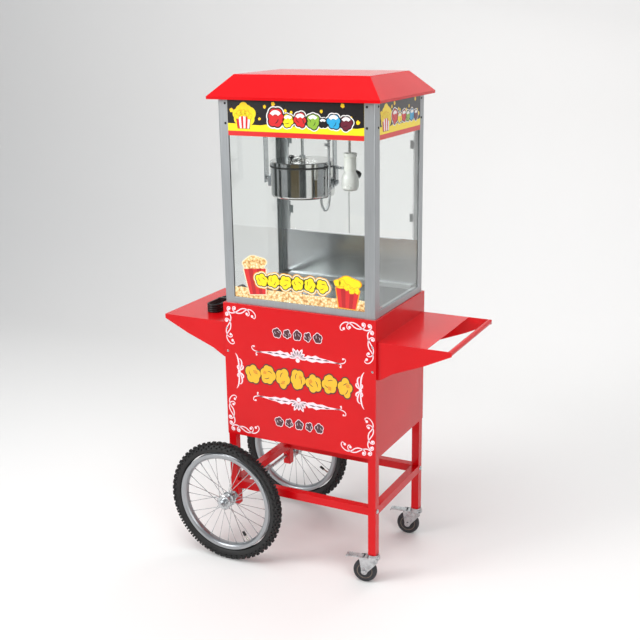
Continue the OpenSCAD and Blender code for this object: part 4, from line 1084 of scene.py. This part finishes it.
# ---------------------------------------------------------------- picture on the front glass
# Vinyl picture along the bottom of the front pane: a heap of popcorn with a tub at each end and a
# garland of outlined kernels between them.
# Printed popcorn: pale round cells with amber gaps, under clear vinyl.
heap_ink, tree, shader = surface("Popcorn picture vinyl", {"Roughness": 0.35, "Coat Weight": 0.4})
place = add(tree, "TexCoord").outputs["Object"]
wobble = add(tree, "TexNoise", {"Vector": place, "Scale": 160.0, "Detail": 2.0})
moved = add(tree, "Mix", {"Factor": 0.012, "A": place, "B": wobble.outputs["Color"]}, data_type="VECTOR")
cells = add(tree, "TexVoronoi", {"Vector": moved.outputs[1], "Scale": 125.0})
tone = add(tree, "ValToRGB", {"Fac": cells.outputs["Distance"]},
           stops=((0.05, "#fffaec"), (0.36, "#fbeac4"), (0.58, "#ecc88c"), (0.85, "#b8834a")))
drift = add(tree, "TexNoise", {"Vector": place, "Scale": 34.0, "Detail": 3.0})
amber = add(tree, "Mix", {"Factor": drift.outputs["Fac"], "A": tone.outputs["Color"],
                          "B": linear("#f3d9a8")},
            data_type="RGBA", blend_type="MULTIPLY")
tree.links.new(amber.outputs["Result"], shader.inputs["Base Color"])
picture = Print("Glass_print", (0, -0.1779, 0), (1, 0, 0), (0, -1, 0))
picture.shape(heap_ink, [(-0.2165, 0.8658)] + splash(-0.2165, 0.2165, 0.897, (2, 5, 11, 23),
                                                     9) + [(0.2165, 0.8658)], 0)


def glass_tub(cx, cz, w, h, heap_h, lean, fill, rim_ink):
    """Tub on the glass, leaning a little, with a round heap of popcorn and a pale cut line round it."""
    def at(u, v):
        return (cx + u * math.cos(lean) - v * math.sin(lean),
                cz + u * math.sin(lean) + v * math.cos(lean))
    heap = [at(x, h + y) for x, y in puff(0, heap_h * 0.24, w * 0.56, 9, 0.3, 0.62)]
    ring = [at(x, h + y) for x, y in puff(0, heap_h * 0.24, w * 0.56, 9, 0.3, 0.62, w * 0.05)]
    picture.shape(rim_ink, ring, 1)
    picture.shape(rim_ink, [at(-w * 0.39, -0.003), at(w * 0.39, -0.003), at(w * 0.55, h),
                            at(-w * 0.55, h)], 1)
    picture.shape(fill, heap, 2)
    for i in range(5):
        a, b = i / 5 - 0.5, (i + 1) / 5 - 0.5
        picture.shape(banner_red if i % 2 == 0 else tub_shade,
                      [at(a * w * 0.72, 0), at(b * w * 0.72, 0), at(b * w, h * 0.98 + 0.002 * (i % 2)),
                       at(a * w, h * 0.98)], 3)


tub_shade = ink("Tub shade red", "#b81d22")
cream = ink("Cream ink", "#f6e6c0")
glass_tub(-0.137, 0.880, 0.076, 0.080, 0.050, math.radians(6), heap_ink, cream)
glass_tub(0.161, 0.870, 0.074, 0.058, 0.046, math.radians(-2), banner_yellow, banner_orange)
for i in range(5):
    kernel(picture, 0.130 + 0.0155 * i, 0.934 + 0.011 * math.sin(1.0 + i * 1.1), 0.0105, banner_yellow,
           banner_orange, 4, i)
garland = [(-0.122 + i * 0.0405, 0.9265, 0.0205, i * 0.9) for i in range(6)]
for grow, mat, layer in ((0.0075, banner_orange, 4), (0.0055, cream, 5)):
    for cx, cz, r, seed in garland:
        picture.shape(mat, puff(cx, cz, r, 5, seed, 1.0, 0.0010 + grow), layer)
for cx, cz, r, seed in garland:
    kernel(picture, cx, cz, r, banner_yellow, banner_black, 6, seed)
picture.done("cart", "banner_print")

# ---------------------------------------------------------------- kettle
# Spun and polished stainless pan on two pins, with a black silicone band under its rim, a split lid
# whose left half lifts by a black knob, and a gear-driven stirrer. It hangs from two steel straps.
# Mirror-polished stainless: sharp reflections, finger marks and faint spinning rings.
polish, tree, shader = surface("Mirror stainless", {"Base Color": linear("#d3d3d1"), "Metallic": 1.0})
place = add(tree, "TexCoord").outputs["Object"]
fingers = add(tree, "TexNoise", {"Vector": place, "Scale": 24.0, "Detail": 7.0})
add(tree, "MapRange", {"Value": fingers.outputs["Fac"], "From Min": 0.4, "From Max": 0.8, "To Min": 0.045,
                       "To Max": 0.16},
    into=shader.inputs["Roughness"])
spun = add(tree, "Mapping", {"Vector": place, "Scale": (2.0, 2.0, 160.0)}).outputs[0]
rings = add(tree, "TexNoise", {"Vector": spun, "Scale": 6.0, "Detail": 3.0})
add(tree, "Bump", {"Height": rings.outputs["Fac"], "Strength": 0.03, "Distance": 0.0004},
    into=shader.inputs["Normal"])
KETTLE, PIN_Z = (-0.070, 0, 0), 1.205  # the pan's upright axis, and the height of its two pins
pan_line = [(0, 1.1570), (0.088, 1.1570), (0.0915, 1.1574), (0.0943, 1.1588), (0.0962, 1.1612),
            (0.0970, 1.1645),
            (0.0970, 1.1657), (0.0970, 1.2462), (0.0970, 1.2475), (0.0978, 1.2500), (0.0970, 1.2510),
            (0.0957, 1.2505), (0.0955, 1.2480),
            (0.0955, 1.1760), (0.0940, 1.1730), (0.0910, 1.1720), (0, 1.1720)]
give(lathe("Kettle_pan", pan_line, polish, sides=160, at=KETTLE), "kettle", "kettle_polish", "kettle_pan")
band_line = [(0.0972, 1.2470), (0.0990, 1.2472), (0.0996, 1.2482), (0.0996, 1.2520), (0.0990, 1.2528),
             (0.0905, 1.2528),
             (0.0903, 1.2512), (0.0972, 1.2512), (0.0972, 1.2470)]
give(lathe("Kettle_band", band_line, pvc, sides=128, at=KETTLE), "kettle", "black_rubber", "kettle_band")
for tag, low, high in (("left", -0.1850, -0.1655), ("right", 0.0255, 0.0310)):
    block = slab(f"Kettle_block_{tag}", (low, -0.014, 1.181), (high, 0.014, 1.217), steel_leaf, 0.0018, 3)
    give(block, "kettle", "kettle_polish")
    for k, (y, z) in enumerate(((-0.009, 1.188), (0.009, 1.188), (0.0, 1.212))):
        x = low if low < -0.1 else high
        screw(f"Kettle_block_{tag}_screw{k}", (x, y, z), (-1 if low < -0.1 else 1, 0, 0), 0.0026,
              "kettle")
for tag, a, b in (("left", -0.2020, -0.1840), ("right", 0.0300, 0.0508)):
    way = Matrix.Translation((a, 0, PIN_Z)) @ Matrix.Rotation(math.pi / 2, 4, "Y")
    pin = lathe(f"Kettle_pin_{tag}", [(0, 0), (0.0044, 0), (0.0050, 0.0006), (0.0050, b - a - 0.0006),
                                      (0.0044, b - a),
                                      (0, b - a)], steel_leaf, sides=32, axis=way)
    give(pin, "kettle", "bright_steel")
show_node("lid_fixed", polish, 0.0006)
show_node("lid_flap", polish, 0.0006)
lid_knob = lathe("Lid_knob", [(0, 0), (0.0048, 0), (0.0047, 0.0035), (0.0062, 0.0048), (0.0083, 0.0056),
                              (0.0086, 0.0075),
                              (0.0082, 0.0100), (0.0068, 0.0124), (0.0045, 0.0138), (0.0018, 0.0142),
                              (0, 0.0142)],
                 shiny_black, sides=40, at=(-0.104, -0.006, 1.2650))
give(lid_knob, "kettle_flap", "black_plastic")
show_node("stirrer", steel_leaf, 0.0005)
collar = lathe("Stirrer_collar", [(0.0046, 1.2715), (0.0088, 1.2715), (0.0094, 1.2722), (0.0094, 1.2790),
                                  (0.0086, 1.2800),
                                  (0.0046, 1.2800), (0.0046, 1.2715)], steel_leaf, sides=40, at=KETTLE)
give(collar, "stir_shaft", "bright_steel")
show_node("stirrer_motor", steel_leaf, 0.0010)
show_node("kettle_hangers", steel_leaf, 0.0004)
for x, s in ((-0.197, -1), (0.039, 1)):
    washer = lathe(f"Hanger_washer_{'lr'[s > 0]}",
                   [(0.0052, 0), (0.0095, 0), (0.0100, 0.0004), (0.0100, 0.0012),
                                                    (0.0095, 0.0016), (0.0052, 0.0016), (0.0052, 0)],
                   zinc, sides=32,
                   axis=Matrix.Translation((x + s * 0.0015, 0, PIN_Z)) @ Matrix.Rotation(s * math.pi / 2,
                                                                                         4, "Y"))
    give(washer, "cart", "zinc_plate")
    for k, y in enumerate((-0.007, 0.007)):
        screw(f"Hanger_screw_{'lr'[s > 0]}{k}", (x + s * 0.009, y, 1.350), (0, 0, -1), 0.0028)

# Tipping handle: a steel lever on the right pin, a short rod and a black moulded grip that points down.
show_node("dump_handle", steel_leaf, 0.0005)
grip_line = [(0, 0), (0.0076, 0), (0.0082, 0.0010), (0.0090, 0.0040), (0.0098, 0.0120), (0.0112, 0.0270),
             (0.0120, 0.0400), (0.0116, 0.0450), (0.0098, 0.0488), (0.0060, 0.0508), (0, 0.0512)]
tilt = Matrix.Translation((0.076, 0, 1.247)) @ Matrix.Rotation(math.radians(115), 4, "Y")
give(lathe("Tip_grip", grip_line, shiny_black, sides=48, axis=tilt), "kettle", "black_plastic",
     "handle_grip")

# Flexible steel conduit with the heater's wires: down from the ceiling, a loop under the pan and into
# its bottom. Its rings are real, about one every 2.4 mm.
route = smooth_route([(0.0342, -0.030, 1.3515), (0.0342, -0.030, 1.320), (0.0342, -0.030, 1.280),
                      (0.0342, -0.030, 1.240),
                      (0.0342, -0.030, 1.205), (0.0347, -0.030, 1.189), (0.0355, -0.031, 1.172),
                      (0.035, -0.032, 1.154),
                      (0.0325, -0.033, 1.138), (0.027, -0.033, 1.126), (0.020, -0.033, 1.123),
                      (0.0135, -0.033, 1.130), (0.0095, -0.032, 1.140), (0.008, -0.031, 1.149),
                      (0.008, -0.031, 1.1572)], 10)
total = [0.0]
for a, b in zip(route, route[1:]):
    total.append(total[-1] + (b - a).length)
samples, index = [], 0
count = int(total[-1] / 0.0006)
for i in range(count + 1):
    s = total[-1] * i / count
    while index < len(total) - 2 and total[index + 1] < s:
        index += 1
    t = (s - total[index]) / max(total[index + 1] - total[index], 1e-9)
    samples.append(route[index].lerp(route[index + 1], min(t, 1.0)))
verts, faces, sides = [], [], 14
for i, p in enumerate(samples):
    way = (samples[min(i + 1, count)] - samples[max(i - 1, 0)]).normalized()
    n = way.cross(Vector((0, 1, 0))).normalized()
    m = way.cross(n)
    r = 0.0040 if i % 4 in (0, 1) else 0.0033
    verts += [p + r * (math.cos(2 * math.pi * k / sides) * n + math.sin(2 * math.pi * k / sides) * m)
              for k in range(sides)]
for i in range(count):
    faces += [(i * sides + k, i * sides + (k + 1) % sides, (i + 1) * sides + (k + 1) % sides,
               (i + 1) * sides + k)
              for k in range(sides)]
faces += [tuple(reversed(range(sides))), tuple(count * sides + k for k in range(sides))]
conduit = new_object("Heater_conduit", verts, faces, zinc)
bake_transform(conduit)
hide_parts("conduit_drop", "conduit_loop")
clip = slab("Conduit_clip", (0.0180, -0.0257, 1.3125), (0.0345, -0.0245, 1.3210), zinc, 0.0003)
give(clip, "cart", "conduit_steel")
ferrule = lathe("Conduit_ferrule", [(0.0040, 1.3300), (0.0062, 1.3300), (0.0068, 1.3308),
                                    (0.0068, 1.3519), (0.0040, 1.3519),
                                    (0.0040, 1.3300)], zinc, sides=24, at=(0.0342, -0.030, 0))
give(ferrule, "cart", "conduit_steel")

# ---------------------------------------------------------------- warming lamp
# White lamp holder on a thin rod from the ceiling, with an opal bulb screwed into it.
# Moulded white plastic: slightly warm and uneven, with a soft sheen.
holder_white, tree, shader = surface("White moulded plastic", {"IOR": 1.5})
place = add(tree, "TexCoord").outputs["Object"]
warm = add(tree, "TexNoise", {"Vector": place, "Scale": 40.0, "Detail": 5.0})
add(tree, "ValToRGB", {"Fac": warm.outputs["Fac"]}, into=shader.inputs["Base Color"],
    stops=((0.3, "#dfdfd9"), (0.7, "#ebebe6")))
add(tree, "MapRange", {"Value": warm.outputs["Fac"], "To Min": 0.28, "To Max": 0.42},
    into=shader.inputs["Roughness"])
LAMP = (0.132, -0.090, 0)
holder_line = [(0, 1.3060), (0.0150, 1.3060), (0.0190, 1.3052), (0.0195, 1.3040), (0.0195, 1.2965),
               (0.0188, 1.2945),
               (0.0172, 1.2938), (0.0172, 1.2925), (0.0180, 1.2915), (0.0180, 1.2590), (0.0176, 1.2555),
               (0.0160, 1.2550), (0, 1.2550)]
give(lathe("Lamp_holder", holder_line, holder_white, sides=64, at=LAMP), "cart", "white_plastic",
     "lamp_holder")
rod_line = [(0.0, 1.3055), (0.0025, 1.3055), (0.0025, 1.3500), (0.0090, 1.3505), (0.0090, 1.3519),
            (0, 1.3519)]
give(lathe("Lamp_rod", rod_line, plated, sides=24, at=LAMP), "cart", "bright_steel")
# Opal glass: milky white that lets a little light in, with a sharp highlight.
opal, tree, shader = surface("Opal bulb glass",
                             {"IOR": 1.46, "Transmission Weight": 0.45, "Coat Weight": 0.5,
                                                 "Coat Roughness": 0.03})
place = add(tree, "TexCoord").outputs["Object"]
frost = add(tree, "TexNoise", {"Vector": place, "Scale": 55.0, "Detail": 4.0})
add(tree, "ValToRGB", {"Fac": frost.outputs["Fac"]}, into=shader.inputs["Base Color"],
    stops=((0.3, "#f2f2ed"), (0.7, "#fbfbf8")))
add(tree, "MapRange", {"Value": frost.outputs["Fac"], "To Min": 0.22, "To Max": 0.36},
    into=shader.inputs["Roughness"])
bulb_line = [(0, 1.2552), (0.0155, 1.2552), (0.0168, 1.2510), (0.0200, 1.2450), (0.0228, 1.2395),
             (0.0240, 1.2345),
             (0.0243, 1.2325), (0.0239, 1.2308), (0.0245, 1.2290), (0.0249, 1.2230), (0.0248, 1.2150),
             (0.0240, 1.2070),
             (0.0222, 1.2020), (0.0185, 1.1987), (0.0110, 1.1972), (0, 1.1970)]
give(lathe("Lamp_bulb", bulb_line, opal, sides=64, at=LAMP, smooth_angle=60), "cart", "bulb_glass",
     "bulb")

# ---------------------------------------------------------------- switches
# Three black rockers in snap-in bezels on the hood's back: heat, stir and light.
for i, name in enumerate(("heat", "stir", "light")):
    x = (0.060, 0.100, 0.140)[i]
    show_node(f"switch_{name}", shiny_black, 0.0005)
    outer, inner = (0.0128, 0.0158), (0.0104, 0.0132)
    verts, faces = [], []
    for y in (0.1811, 0.1828):
        for w, h in (outer, inner):
            grow = 0.0006 if (y > 0.182 and (w, h) == outer) else 0.0
            verts += [(x - w + grow, y, 1.405 - h + grow), (x + w - grow, y, 1.405 - h + grow),
                      (x + w - grow, y, 1.405 + h - grow), (x - w + grow, y, 1.405 + h - grow)]
    for k in range(4):
        j = (k + 1) % 4
        faces += [(k, j, 8 + j, 8 + k), (8 + k, 8 + j, 12 + j, 12 + k), (12 + k, 12 + j, 4 + j, 4 + k),
                  (4 + k, 4 + j, j, k)]
    bezel = new_object(f"Bezel_{name}", verts, faces, shiny_black, smooth=False)
    sharpen(bezel, 30)
    give(bezel, "cart", "black_plastic")
